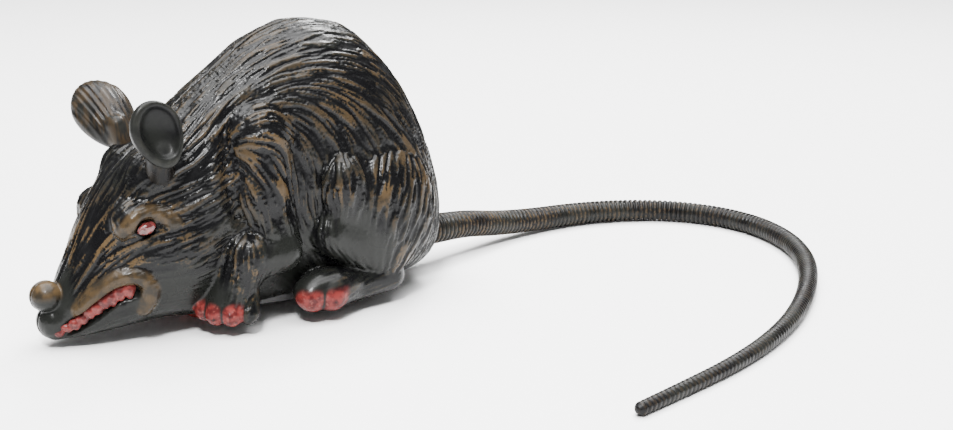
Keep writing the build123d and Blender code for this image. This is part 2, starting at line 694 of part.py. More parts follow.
def nodes():
    for side, name in ((-1, "left"), (1, "right")):
        yield f"body_half_{name}", body_half(side)
        yield f"ear_{name}", ear(side)
    yield "belly_plate", belly_plate()
    yield "belly_screws", [screw_up(x, y, BOSS_TOP - 2.0) for x, y in plate_screws()]
    yield "frame_screws", [screw_up(x, y, PLATE_TOP + FRAME_T + 0.6) for x, y in frame_feet()]
    yield "body_screws", [body_screw(*s) for s in BODY_SCREWS]
    yield "frame_plate_left", frame_plate(-1)
    yield "frame_plate_right", frame_plate(1)
    yield "frame_pillars", [pillar(*p) for p in PILLARS]
    yield "mainspring", mainspring()
    yield "spring_stud", spring_stud()
    yield "winding_arbor", winding_arbor()
    yield "ratchet_wheel", ratchet_wheel()
    yield "winding_key", winding_key()
    yield "great_wheel", great_wheel()
    yield "click_rivet", click_rivet()
    yield "click", click()
    yield "click_spring", click_spring()
    yield "first_arbor", arbor(FIRST_AT)
    gap = gap_towards(FIRST_PINION_TEETH, heading(FIRST_AT, WINDING_AT))
    yield "first_pinion", gear(FIRST_AT, FIRST_PINION_TEETH, gap, FIRST_PINION_Y, ARBOR_R)
    towards = heading(FIRST_AT, SECOND_AT)
    yield "first_wheel", gear(FIRST_AT, FIRST_WHEEL_TEETH, towards, FIRST_WHEEL_Y, ARBOR_R)
    yield "second_arbor", arbor(SECOND_AT)
    gap = gap_towards(SECOND_PINION_TEETH, heading(SECOND_AT, FIRST_AT))
    yield "second_pinion", gear(SECOND_AT, SECOND_PINION_TEETH, gap, SECOND_PINION_Y, ARBOR_R)
    towards = heading(SECOND_AT, DRIVE_AT)
    yield "second_wheel", gear(SECOND_AT, SECOND_WHEEL_TEETH, towards, SECOND_WHEEL_Y, ARBOR_R)
    yield "drive_axle", rod(*DRIVE_AT, AXLE_R, -TYRE_Y[1] - 0.6, TYRE_Y[1] + 0.6)
    gap = gap_towards(DRIVE_PINION_TEETH, heading(DRIVE_AT, SECOND_AT))
    yield "drive_pinion", gear(DRIVE_AT, DRIVE_PINION_TEETH, gap, DRIVE_PINION_Y, AXLE_R)
    for side, name in ((-1, "left"), (1, "right")):
        yield f"drive_hub_{name}", drive_hub(side)
        yield f"drive_tyre_{name}", drive_tyre(side)
    yield "roller_axle", rod(*ROLLER_AT, ROLLER_AXLE_R, -BRACKET_Y[1], BRACKET_Y[1])
    yield "front_roller", roller()
    yield "tail_ball", tail_ball()
    yield "tail", tail()


def main():
    os.makedirs("parts", exist_ok=True)
    for name, shape in nodes():
        if isinstance(shape, list):
            solids = [s for one in shape for s in one.solids()]
        else:
            solids = shape.solids()
        node = solids[0] if len(solids) == 1 else Compound(children=solids)
        export_step(node, f"parts/{name}.step")
        print(name, len(solids), round(sum(s.volume for s in solids), 1))


if __name__ == "__main__":
    main()
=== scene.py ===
"""Looks of the wind-up toy rat: a sculpted, dry-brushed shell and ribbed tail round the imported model."""

import json
from math import cos, pi, radians, sin

import bpy
import numpy as np
import openvdb
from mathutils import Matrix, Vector


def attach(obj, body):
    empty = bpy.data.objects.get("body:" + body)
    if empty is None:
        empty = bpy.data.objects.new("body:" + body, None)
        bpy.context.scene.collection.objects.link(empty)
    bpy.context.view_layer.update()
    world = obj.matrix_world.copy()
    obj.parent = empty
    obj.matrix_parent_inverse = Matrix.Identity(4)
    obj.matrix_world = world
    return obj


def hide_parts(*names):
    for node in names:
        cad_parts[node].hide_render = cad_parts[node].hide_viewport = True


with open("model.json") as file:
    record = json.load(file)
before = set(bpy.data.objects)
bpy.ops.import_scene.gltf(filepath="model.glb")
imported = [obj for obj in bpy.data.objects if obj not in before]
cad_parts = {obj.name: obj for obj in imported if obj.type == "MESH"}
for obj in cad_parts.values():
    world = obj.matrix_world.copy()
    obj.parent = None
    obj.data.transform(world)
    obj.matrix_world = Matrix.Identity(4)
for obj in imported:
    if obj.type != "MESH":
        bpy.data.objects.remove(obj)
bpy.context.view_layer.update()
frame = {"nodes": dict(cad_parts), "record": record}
MM = 0.001

# ---- grid and sampling, in millimetres -----------------------------------------------------------------

VOXEL = 0.5
COARSE = 4  # fine cells to one cell of the first, rough pass
BAND = 2.0  # depth of the exact band on each side of the surface
BATCH = 20000  # rough cells worked out at a time

# ---- the body's form, in millimetres, on the rat's left side (-Y) --------------------------------------

# Each station is (x, bottom, top, height of the widest point, half width).
STATIONS = [
    (-72.0, 5.0, 12.0, 8.0, 1.0),
    (-70.0, 3.0, 15.5, 8.0, 5.0),
    (-64.0, 2.6, 26.5, 10.5, 9.4),
    (-57.0, 3.0, 40.0, 15.0, 13.0),
    (-48.0, 3.8, 52.0, 21.0, 17.0),
    (-38.0, 4.2, 59.0, 27.0, 20.0),
    (-26.0, 2.6, 69.6, 33.0, 22.0),
    (-12.0, 1.8, 79.6, 38.0, 23.5),
    (3.0, 1.8, 89.0, 40.0, 25.5),
    (17.0, 1.8, 93.0, 40.0, 28.5),
    (31.0, 1.8, 91.0, 38.0, 30.0),
    (44.0, 2.6, 81.5, 34.0, 29.0),
    (54.0, 4.2, 66.8, 30.0, 25.5),
    (61.0, 7.5, 51.0, 26.0, 20.0),
    (66.5, 12.5, 37.0, 24.0, 12.0),
    (70.0, 18.0, 28.0, 23.0, 1.0),
]
FULL_ABOVE, FULL_BELOW = 2.15, 2.8  # superellipse exponents

NOSE = ((-71.3, 0.0, 16.2), (4.9, 5.3, 4.8))
LIP = ((-69.8, 0.0, 8.0), (4.8, 5.6, 5.4))
CHEEK = ((-33.0, -13.0, 27.0), (13.0, 9.0, 13.0))
BROW = ((-46.8, -12.2, 38.6), (7.6, 5.6, 6.0))
SKULL = ((-38.5, -8.5, 50.5), (8.5, 8.0, 7.6))
SHOULDER = [((-6.2, -15.2, 59.0), 11.8), ((-7.6, -17.6, 42.0), 10.0), ((-5.0, -22.0, 27.0), 7.6)]
FOREARM = [((-4.0, -24.2, 23.6), 6.6), ((-15.0, -21.4, 23.0), 8.0), ((-20.5, -21.0, 12.0), 7.2)]
PAW = ((-20.6, -20.6, 8.6), (8.6, 6.8, 5.8))
THIGH = ((32.5, -23.5, 31.0), (22.5, 12.3, 22.8))
KNEE = ((17.0, -27.5, 40.5), (8.2, 7.6, 12.0))
SHIN = [((13.0, -26.5, 27.0), 7.0), ((33.0, -26.5, 15.5), 6.6)]
HEEL = [((19.0, -27.0, 8.6), 5.6), ((34.5, -26.5, 9.6), 5.8)]
FOOT = ((10.5, -27.8, 9.6), (12.3, 7.6, 7.0))
# Toes of the front paw and of the hind foot: each is a roll from its knuckle to its tip.
FRONT_TOES = [
    ((-24.6, -17.0, 12.6), (-28.2, -18.0, 7.6)),
    ((-23.0, -20.8, 12.9), (-26.8, -22.6, 7.2)),
    ((-20.0, -23.6, 12.4), (-23.4, -26.2, 7.0)),
    ((-16.0, -25.0, 11.0), (-18.4, -27.6, 7.0)),
]
FRONT_TOE_R = (2.9, 3.3)
HIND_TOES = [
    ((7.5, -28.5, 11.4), (3.0, -30.0, 8.4)),
    ((12.5, -30.2, 11.2), (9.2, -32.2, 8.2)),
]
HIND_TOE_R = (4.4, 4.5)

# Lines on the head's side, as (x, z): they are pressed against the surface, wherever it is.
BROW_LINE = [(-52.0, 35.6), (-49.5, 39.4), (-45.5, 41.2), (-40.5, 40.2), (-37.6, 37.6)]
LIP_LINE = [
    (-64.5, 12.6), (-60.5, 17.0), (-56.0, 20.6), (-51.5, 22.4), (-47.4, 21.0), (-45.2, 16.8), (-47.0, 11.5),
]
TOOTH_LINE = [(-70.6, 4.9), (-66.6, 7.4), (-62.4, 10.6), (-58.2, 13.8), (-54.0, 16.6), (-50.4, 17.4)]
NECK_CREASE = [(-8.5, 71.0), (-15.5, 65.0), (-19.5, 56.0), (-20.0, 46.0), (-17.5, 36.0)]
NECK_CREASE_R = 2.6
EYE_AT = (-46.0, 36.8)
BROW_LINE_R, LIP_LINE_R, MOUTH_R = 1.9, 2.1, 2.2
EYE_SOCKET_R = 2.8

# Which way the fur lies, as (x, z, degrees): 0 towards the tail, 90 up.
TRUNK_FLOW = [
    (-70, 18, 60), (-62, 28, 62), (-55, 38, 60), (-48, 48, 50), (-40, 56, 35), (-30, 64, 40),
    (-20, 72, 38), (-8, 80, 28), (5, 86, 12), (18, 88, 0), (30, 86, -18), (40, 78, -40),
    (48, 68, -55), (54, 58, -65), (59, 46, -75), (62, 30, -90), (60, 15, -110),
    (-62, 18, 30), (-55, 24, 16), (-48, 28, 8), (-40, 28, 4), (-32, 28, 14), (-40, 10, 5), (-20, 8, 0),
    (-52, 32, 22), (-40, 36, 8), (-36, 44, -8), (-30, 48, 8), (-25, 42, 25), (-22, 34, 35),
    (-24, 54, 40), (-20, 62, 55), (-14, 72, 45), (-5, 76, 15), (8, 78, 2), (20, 78, -10),
    (30, 72, -30), (38, 62, -52), (45, 55, -62), (8, 66, -35), (16, 62, -58), (24, 62, -60),
    (12, 50, -80), (10, 40, -90), (20, 50, -80), (5, 20, -60),
]
SHOULDER_FLOW = [
    (-16, 56, 45), (-12, 66, 32), (-6, 69, 5), (0, 67, -38), (4, 60, -68), (-10, 60, 5), (-4, 60, -40),
    (-13, 50, -60), (-8, 50, -60), (-2, 50, -74), (2, 48, -88), (-12, 40, -78), (-6, 40, -76),
    (-8, 30, -85),
]
THIGH_FLOW = [
    (12, 48, -80), (11, 40, -92), (18, 50, -100), (24, 48, -108), (34, 50, -118), (44, 46, -112),
    (30, 38, -112), (42, 34, -110), (50, 30, -105), (22, 32, -100), (34, 20, -120), (20, 20, -50),
]
FOREARM_FLOW = [(-2, 26, -140), (-14, 26, -95), (-20, 18, -95), (-24, 8, -120)]
HIND_FLOW = [(8, 10, -170), (34, 10, -170)]
FLOW_REACH = 7.0  # how far one arrow is felt
PRESS_STEP = 1.8  # between the points of a pressed line
BROW_DEPTH, LIP_DEPTH, MOUTH_DEPTH, CREASE_DEPTH = 0.75, 0.55, -0.1, -1.4  # into the surface


def smooth_min(a, b, blend):
    """The union of two solids, rounded over about the blend's width."""
    share = np.clip(0.5 + 0.5 * (b - a) / blend, 0.0, 1.0)
    return b + (a - b) * share - blend * share * (1.0 - share)


def smooth_max(a, b, blend):
    """What two solids share, rounded over in the same way."""
    return -smooth_min(-a, -b, blend)


def near_ellipsoid(p, centre, radii):
    """Roughly the distance to an ellipsoid."""
    q = p - np.array(centre)
    k0 = np.linalg.norm(q / radii, axis=1)
    k1 = np.linalg.norm(q / (np.array(radii) ** 2), axis=1)
    return k0 * (k0 - 1.0) / np.maximum(k1, 1e-6)


def near_capsule(p, start, end):
    """The distance to a tapered capsule, given as two (centre, radius) ends."""
    a, b = np.array(start[0]), np.array(end[0])
    along = b - a
    t = np.clip((p - a) @ along / (along @ along), 0.0, 1.0)
    radius = start[1] + (end[1] - start[1]) * t
    return np.linalg.norm(p - a - t[:, None] * along, axis=1) - radius


def smooth_curve(x, xs, ys):
    """A curve through the given points with no overshoot (monotone cubic)."""
    xs, ys = np.array(xs), np.array(ys)
    steps = np.diff(xs)
    rises = np.diff(ys) / steps
    before, after = rises[:-1], rises[1:]
    inner = np.where(after * before > 0, 2 * after * before / (after + before), 0.0)
    tangents = np.concatenate([rises[:1], inner, rises[-1:]])
    i = np.clip(np.searchsorted(xs, x) - 1, 0, len(xs) - 2)
    h = steps[i]
    t = np.clip((x - xs[i]) / h, 0.0, 1.0)
    t2, t3 = t * t, t * t * t
    start = (2 * t3 - 3 * t2 + 1) * ys[i] + (t3 - 2 * t2 + t) * h * tangents[i]
    return start + (-2 * t3 + 3 * t2) * ys[i + 1] + (t3 - t2) * h * tangents[i + 1]


def trunk_distance(p):
    """Trunk and head as one tube of superellipses whose size follows the stations."""
    x = p[:, 0]
    table = list(zip(*STATIONS))
    bottom, top, widest, half = [smooth_curve(x, table[0], table[k]) for k in (1, 2, 3, 4)]
    above = p[:, 2] > widest
    reach = np.maximum(np.where(above, top - widest, widest - bottom), 0.5)
    power = np.where(above, FULL_ABOVE, FULL_BELOW)
    across = np.abs(p[:, 1]) / np.maximum(half, 0.5)
    upward = np.abs(p[:, 2] - widest) / reach
    ratio = (across**power + upward**power) ** (1.0 / power)
    radius = np.hypot(p[:, 1], p[:, 2] - widest)
    inside_size = np.where(ratio > 1e-6, radius / np.maximum(ratio, 1e-6), half)
    distance = (ratio - 1.0) * np.minimum(inside_size, 40.0) * 0.92
    ends = np.maximum(table[0][0] + 0.5 - x, x - table[0][-1] + 0.5)
    return smooth_max(distance, ends, 2.0)


def left_side(p):
    """The same points folded over to the left side, where the form is given."""
    q = p.copy()
    q[:, 1] = -np.abs(q[:, 1])
    return q


def chain_distance(q, balls, blend):
    """A string of tapered capsules, each (centre, radius)."""
    shape = near_capsule(q, balls[0], balls[1])
    for start, end in zip(balls[1:], balls[2:]):
        shape = smooth_min(shape, near_capsule(q, start, end), blend)
    return shape


def toes_distance(q, toes, radii):
    """Toes side by side, their radii given at the knuckle and at the tip."""
    shape = near_capsule(q, (toes[0][0], radii[0]), (toes[0][1], radii[1]))
    for knuckle, tip in toes[1:]:
        shape = smooth_min(shape, near_capsule(q, (knuckle, radii[0]), (tip, radii[1])), 0.5)
    return shape


def head_distance(q):
    """The trunk with its head, cheeks, brow and skull."""
    shape = smooth_min(trunk_distance(q), near_ellipsoid(q, *CHEEK), 5.0)
    shape = smooth_min(shape, near_ellipsoid(q, *BROW), 3.0)
    return smooth_min(shape, near_ellipsoid(q, *SKULL), 5.0)


def zone_distances(q):
    """Distances to the trunk with its head, the shoulder, the thigh, the forearm and the hind foot."""
    shoulder = chain_distance(q, SHOULDER, 3.0)
    forearm = smooth_min(chain_distance(q, FOREARM, 2.0), near_ellipsoid(q, *PAW), 3.0)
    forearm = smooth_min(forearm, toes_distance(q, FRONT_TOES, FRONT_TOE_R), 1.5)
    thigh = smooth_min(near_ellipsoid(q, *THIGH), near_ellipsoid(q, *KNEE), 3.0)
    thigh = smooth_min(thigh, chain_distance(q, SHIN, 1.0), 3.0)
    foot = smooth_min(near_ellipsoid(q, *FOOT), chain_distance(q, HEEL, 1.0), 1.6)
    foot = smooth_min(foot, toes_distance(q, HIND_TOES, HIND_TOE_R), 1.5)
    return head_distance(q), shoulder, thigh, forearm, foot


def pressed(line, depth):
    """Points close together along a line on the head's left side, put on the surface and this far into it."""
    line = np.array(line, dtype=float)
    if len(line) > 1:
        runs = np.concatenate([[0.0], np.cumsum(np.linalg.norm(np.diff(line, axis=0), axis=1))])
        places = np.linspace(0.0, runs[-1], max(2, int(runs[-1] / PRESS_STEP)))
        line = np.stack([smooth_curve(places, runs, line[:, k]) for k in (0, 1)], axis=1)
    x, z = line.T
    p = np.stack([x, np.full(len(x), -45.0), z], axis=1)
    for _ in range(60):
        p[:, 1] += np.clip(head_distance(p) * 0.7, -2.0, 2.0)
    p[:, 1] += depth
    return [tuple(row) for row in p]


BROW_RIDGE = [(c, BROW_LINE_R) for c in pressed(BROW_LINE, BROW_DEPTH)]
LIP_RIDGE = [(c, LIP_LINE_R) for c in pressed(LIP_LINE, LIP_DEPTH)]
MOUTH = [(c, MOUTH_R) for c in pressed(TOOTH_LINE, MOUTH_DEPTH)]
EYE = pressed([EYE_AT], 0.0)[0]
CREASE = [(c, NECK_CREASE_R) for c in pressed(NECK_CREASE, CREASE_DEPTH)]


def outer_distance(p):
    """The whole body's surface before its fur: negative inside."""
    q = left_side(p)
    head, shoulder, thigh, forearm, foot = zone_distances(q)
    near_face = (q[:, 0] < -32.0) & (q[:, 2] < 48.0) & (head < 8.0)
    face = q[near_face]
    if len(face):
        shape = smooth_min(head[near_face], chain_distance(face, BROW_RIDGE, 1.0), 1.6)
        shape = smooth_min(shape, chain_distance(face, LIP_RIDGE, 1.0), 1.4)
        shape = smooth_max(shape, -chain_distance(face, MOUTH, 1.0), 0.7)
        shape = smooth_max(shape, -(np.linalg.norm(face - EYE, axis=1) - EYE_SOCKET_R), 1.2)
        head[near_face] = shape
    by_neck = (q[:, 0] > -28.0) & (q[:, 0] < 0.0) & (q[:, 2] > 28.0) & (head < 8.0)
    if by_neck.any():
        head[by_neck] = smooth_max(head[by_neck], -chain_distance(q[by_neck], CREASE, 1.0), 2.6)
    shape = smooth_min(head, shoulder, 1.4)
    shape = smooth_min(shape, thigh, 1.8)
    shape = smooth_min(shape, forearm, 1.2)
    shape = smooth_min(shape, foot, 1.0)
    shape = smooth_min(shape, near_ellipsoid(q, *LIP), 2.0)
    return smooth_min(shape, near_ellipsoid(q, *NOSE), 0.6)


# ---- meshing -------------------------------------------------------------------------------------------


def field_mesh(distance, low, high, voxel):
    """Points (mm) and quads of the surface where a distance function is zero."""
    low = np.floor(np.array(low) / voxel) * voxel
    counts = np.ceil((np.array(high) - low) / (voxel * COARSE)).astype(int) + 1
    axes = [low[k] + voxel * COARSE * np.arange(counts[k]) for k in range(3)]
    rough = np.stack(np.meshgrid(*axes, indexing="ij"), -1).reshape(-1, 3)
    rough_values = distance(rough).reshape(counts)
    values = np.repeat(np.repeat(np.repeat(rough_values, COARSE, 0), COARSE, 1), COARSE, 2)
    offset = np.stack(np.meshgrid(*[np.arange(COARSE)] * 3, indexing="ij"), -1).reshape(-1, 3) * voxel
    reach = BAND + voxel * COARSE * 1.8
    close = np.argwhere(np.abs(rough_values) < reach)
    for start in range(0, len(close), BATCH):
        cells = close[start : start + BATCH]
        points = (low + cells * voxel * COARSE)[:, None, :] + offset[None]
        exact = distance(points.reshape(-1, 3)).reshape(-1, COARSE, COARSE, COARSE)
        for (i, j, k), block in zip(cells * COARSE, exact):
            values[i : i + COARSE, j : j + COARSE, k : k + COARSE] = block
    grid = openvdb.FloatGrid(float(reach))
    grid.copyFromArray(values.astype(np.float32))
    points, quads = grid.convertToQuads(0.0)
    return points * voxel + low, quads[:, ::-1]


def slopes(distance, p, step=0.4):
    """Unit normals of a distance function."""
    corners = np.array([(1, 1, 1), (1, -1, -1), (-1, 1, -1), (-1, -1, 1)], dtype=float)
    total = sum(corner * distance(p + corner * step)[:, None] for corner in corners)
    return total / np.maximum(np.linalg.norm(total, axis=1), 1e-9)[:, None]


def mesh_object(name, points, faces, smooth=True):
    """A Blender object from points in millimetres, with its faces as a list or an array."""
    mesh = bpy.data.meshes.new(name)
    faces = faces if isinstance(faces, list) else faces.tolist()
    mesh.from_pydata((np.asarray(points) * MM).tolist(), [], faces)
    mesh.update()
    mesh.polygons.foreach_set("use_smooth", [smooth] * len(mesh.polygons))
    piece = bpy.data.objects.new(name, mesh)
    bpy.context.scene.collection.objects.link(piece)
    return piece


def set_attribute(piece, name, values):
    """One number at each point, for the materials to read."""
    layer = piece.data.attributes.new(name, "FLOAT", "POINT")
    layer.data.foreach_set("value", np.asarray(values, dtype=np.float32))


def place_piece(piece, body, material, replaced=()):
    """Everything that a finished piece needs: its body, finish and what it stands for."""
    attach(piece, body)
    if replaced:
        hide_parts(*replaced)
    piece.data.materials.append(material)


# ---- fur -----------------------------------------------------------------------------------------------

NOISE_CELLS = 128
NOISE_CELL = 0.25
STROKE_REACH, STROKE_STEP = 6.0, 0.4
FLOW_GRID = (-85.0, -6.0, 165, 106)  # first x, first z, and the counts, 1 mm apart
# The zones come in the order of zone_distances.
TRUNK = 0
FLOWS = [TRUNK_FLOW, SHOULDER_FLOW, THIGH_FLOW, FOREARM_FLOW, HIND_FLOW]
STROKE_SCALE = [1.0, 1.35, 1.45, 1.1, 1.0]  # how broad each zone's strokes are
STROKE_DEPTH = [0.62, 0.78, 0.72, 0.5, 0.1]
FINE_SPREAD, BROAD_SPREAD = 0.95, 3.2  # the two noises, in cells
HEAD_BEGINS, HEAD_DEPTH = -34.0, 0.72  # in front of this x the fur is shallower
BARE_DEPTH, BARE_RAISE = 0.86, 0.9  # how much of the fur's depth and paint a smooth place loses
RIDGE_TOP = 48.0  # nothing above this height counts as brow or lip


def noise_volume(seed, spread):
    """A block of smooth noise that repeats: a larger spread, in cells, gives broader blobs."""
    white = np.random.default_rng(seed).standard_normal((NOISE_CELLS,) * 3)
    squared = sum(np.meshgrid(*[np.fft.fftfreq(NOISE_CELLS) ** 2] * 3, indexing="ij"))
    smooth = np.fft.ifftn(np.fft.fftn(white) * np.exp(-2 * (pi * spread) ** 2 * squared)).real
    return (smooth / smooth.std()).astype(np.float32)


def noise_at(volume, p):
    """The noise at each point, with the block repeated in every direction."""
    i = np.floor(p / NOISE_CELL).astype(np.int32) % NOISE_CELLS
    return volume[i[:, 0], i[:, 1], i[:, 2]]


def flow_grids():
    """For each zone, the cosine and sine of the way the fur lies at each (x, z)."""
    x0, z0, nx, nz = FLOW_GRID
    gx, gz = np.meshgrid(x0 + np.arange(nx), z0 + np.arange(nz), indexing="ij")
    grids = []
    for table in FLOWS:
        total = np.zeros((nx, nz, 2))
        for x, z, degrees in table:
            weight = np.exp(-((gx - x) ** 2 + (gz - z) ** 2) / (2 * FLOW_REACH**2)) + 1e-6
            total[..., 0] += weight * cos(radians(degrees))
            total[..., 1] += weight * sin(radians(degrees))
        grids.append(total / np.maximum(np.linalg.norm(total, axis=2), 1e-9)[..., None])
    return np.array(grids)


def fur_way(grids, zones, p, normals):
    """The unit direction of the fur at each point, along the surface."""
    x0, z0, nx, nz = FLOW_GRID
    i = np.clip(np.round(p[:, 0] - x0).astype(int), 0, nx - 1)
    j = np.clip(np.round(p[:, 2] - z0).astype(int), 0, nz - 1)
    way = grids[zones, i, j]
    way = np.stack([way[:, 0], np.zeros(len(p)), way[:, 1]], axis=1)
    way -= normals * np.sum(way * normals, axis=1)[:, None]
    return way / np.maximum(np.linalg.norm(way, axis=1), 0.15)[:, None]


def strokes(volume, grids, zones, points, normals, scale):
    """Noise drawn out along the fur, with a spread of about one."""
    total = noise_at(volume, points / scale).astype(float)
    for sense in (-1.0, 1.0):
        p = points.copy()
        for k in range(1, int(STROKE_REACH / STROKE_STEP) + 1):
            p += sense * STROKE_STEP * fur_way(grids, zones, p, normals)
            weight = cos(pi / 2 * k * STROKE_STEP / (STROKE_REACH + STROKE_STEP)) ** 2
            total += weight * noise_at(volume, p / scale)
    return total / total.std()


def ramp(values, low, high):
    """0 below low, 1 above high (either may be the larger), rounded at both ends."""
    t = np.clip((values - low) / (high - low), 0.0, 1.0)
    return t * t * (3 - 2 * t)


def patch(q, centre, size):
    """A soft-edged round patch on the side, as (x, z) and a radius."""
    return np.exp(-((q[:, 0] - centre[0]) ** 2 + (q[:, 2] - centre[1]) ** 2) / (2 * size**2))


# Where tan paint was brushed on thickly, as ((x, z), radius, strength).
TAN_PATCHES = [
    ((-47.0, 41.0), 3.0, 1.0), ((-41.0, 40.5), 3.2, 1.0), ((-53.0, 34.0), 3.5, 0.8),
    ((-40.0, 33.0), 5.0, 0.6), ((-62.0, 17.0), 2.6, 1.0), ((-56.0, 23.0), 2.8, 1.0),
    ((-49.5, 24.0), 3.4, 1.0), ((-62.0, 27.0), 5.0, 0.7), ((-44.0, 30.0), 7.0, 0.55),
    ((-58.0, 31.0), 6.0, 0.55), ((-9.0, 56.0), 6.0, 0.8), ((-4.0, 44.0), 5.0, 0.9),
    ((-14.0, 47.0), 5.0, 0.7), ((-12.0, 62.0), 5.0, 0.6), ((-20.5, 19.0), 3.5, 1.0),
    ((-13.0, 24.0), 3.5, 1.0), ((-16.0, 13.0), 3.5, 0.8), ((13.5, 41.5), 2.4, 1.2),
    ((29.0, 42.0), 3.5, 0.9), ((25.0, 30.0), 3.2, 0.6), ((33.5, 17.0), 3.4, 0.9),
    ((43.0, 47.0), 7.0, 0.6), ((48.0, 33.0), 5.0, 0.4), ((10.0, 82.0), 12.0, 0.35),
    ((36.0, 74.0), 9.0, 0.45), ((20.0, 66.0), 6.0, 0.5), ((-28.0, 60.0), 8.0, 0.3),
    ((33.0, 12.0), 5.0, 0.3),
]
# Smooth places, where no fur was modelled, in the same form.
BARE_PATCHES = [
    ((17.0, 27.0), 5.5, 1.3), ((26.0, 19.0), 5.0, 1.0), ((-4.0, 24.0), 5.5, 1.2),
    ((-37.0, 15.0), 6.0, 1.0), ((-45.0, 10.0), 6.0, 1.0), ((-30.0, 12.0), 5.0, 0.9),
    ((-4.0, 12.0), 8.0, 1.0), ((22.0, 90.0), 5.0, 0.4),
]


def coverage(q, patches):
    """All the patches added up at each point."""
    return sum(strength * patch(q, centre, size) for centre, size, strength in patches)


def on_ridges(q):
    """1 along the brow and the lip, 0 away from them."""
    ridge = np.minimum(chain_distance(q, BROW_RIDGE, 1.0), chain_distance(q, LIP_RIDGE, 1.0))
    return ramp(ridge, 0.9, 0.1) * (q[:, 2] < RIDGE_TOP)


def fur(points, normals, zones):
    """How raised each point is (0 to 1) and how far the fur stands out there, in millimetres."""
    grids = flow_grids()
    fine, broad = noise_volume(3, FINE_SPREAD), noise_volume(8, BROAD_SPREAD)
    scale = np.array(STROKE_SCALE)[zones][:, None]
    drawn = strokes(fine, grids, zones, points, normals, scale)
    tufts = strokes(broad, grids, zones, points, normals, scale)
    raised = ramp(drawn, -1.15, 1.25)
    q = left_side(points)
    # Smooth places get shallower fur, and on the shell they also get a painted sheen of lighter grey.
    bare = np.clip(coverage(q, BARE_PATCHES), 0.0, 1.0)
    bare = np.maximum(bare, ramp(q[:, 2], 16.0, 5.0) * (zones == TRUNK))
    bare = np.maximum(bare, ramp(q[:, 0], -63.5, -67.5))
    bare = np.maximum(bare, 0.8 * on_ridges(q))
    depth = np.array(STROKE_DEPTH)[zones] * (1.0 - BARE_DEPTH * bare)
    depth *= np.where((zones == TRUNK) & (q[:, 0] < HEAD_BEGINS), HEAD_DEPTH, 1.0)
    height = depth * (raised - 0.55) + 0.22 * depth * np.tanh(tufts)
    return raised, bare, height


# ---- the two halves of the body ------------------------------------------------------------------------

CAVITY_FLOOR = 6.4
PLATE_OUTLINE = ((-32.0, 2.0, 49.0), (8.5, 16.0, 16.0))  # x, and the half width there
PLATE_GAP = 0.3
BODY_SCREWS = [(-36.0, 30.0, 11.0), (-2.0, 76.0, 6.0), (45.0, 66.0, 8.0)]  # x, z, seat
PLATE_BOSSES = [(-14.0, 8.4), (44.0, 13.0)]
BODY_BOSS_R, PLATE_BOSS_R, BOSS_TOP = 3.3, 2.9, 14.0
COUNTERBORE_R, SCREW_HOLE_R, SCREW_DEPTH = 2.5, 1.2, 8.0
KEY_AT, KEY_HOLE_R = (10.0, 50.0), 3.4
BALL_AT, SOCKET_R, SOCKET_OUTSIDE_R, TAIL_SLOT_R = (52.0, 0.0, 13.6), 7.75, 9.7, 5.7
PARTING = 0.06  # half the gap between the halves
TAIL_SLOT_FROM, TAIL_SLOT_SPLAY = 56.0, 0.34  # behind this x the slot opens out
TRUNK_WALL, THIGH_WALL = 2.6, 3.2
SKIN = 0.32  # points this near the outside carry the fur
HALF_BOX = (-80.0, 74.0), (42.0, 1.5), (-2.0, 98.0)  # x, the y outside and past the middle, and z
PAINTED_TOES = [(FRONT_TOES[:3], FRONT_TOE_R), (HIND_TOES, HIND_TOE_R)]
TOE_PAINT_TOP = (12.4, 9.6)  # the red fades out between these heights


def rod_distance(p, x, z, radius):
    """The distance to an endless rod across the body."""
    return np.hypot(p[:, 0] - x, p[:, 2] - z) - radius


def inside_parts(q):
    """The bosses and the tail's socket."""
    shape = np.linalg.norm(q - BALL_AT, axis=1) - SOCKET_OUTSIDE_R
    for x, z, _ in BODY_SCREWS:
        shape = np.minimum(shape, rod_distance(q, x, z, BODY_BOSS_R))
    for x, y in PLATE_BOSSES:
        post = np.hypot(q[:, 0] - x, q[:, 1] + y) - PLATE_BOSS_R
        rib = np.maximum(np.abs(q[:, 0] - x) - 1.0, q[:, 1] + y)
        shape = np.minimum(shape, np.maximum(np.minimum(post, rib), q[:, 2] - BOSS_TOP))
    return shape


def plate_opening(q):
    """The hole in the underside that the belly plate closes."""
    width = np.interp(q[:, 0], *PLATE_OUTLINE) + PLATE_GAP
    front, back = PLATE_OUTLINE[0][0] - PLATE_GAP, PLATE_OUTLINE[0][-1] + PLATE_GAP
    sides = np.maximum(-q[:, 1] - width, np.maximum(front - q[:, 0], q[:, 0] - back))
    return np.maximum(sides, q[:, 2] - CAVITY_FLOOR)


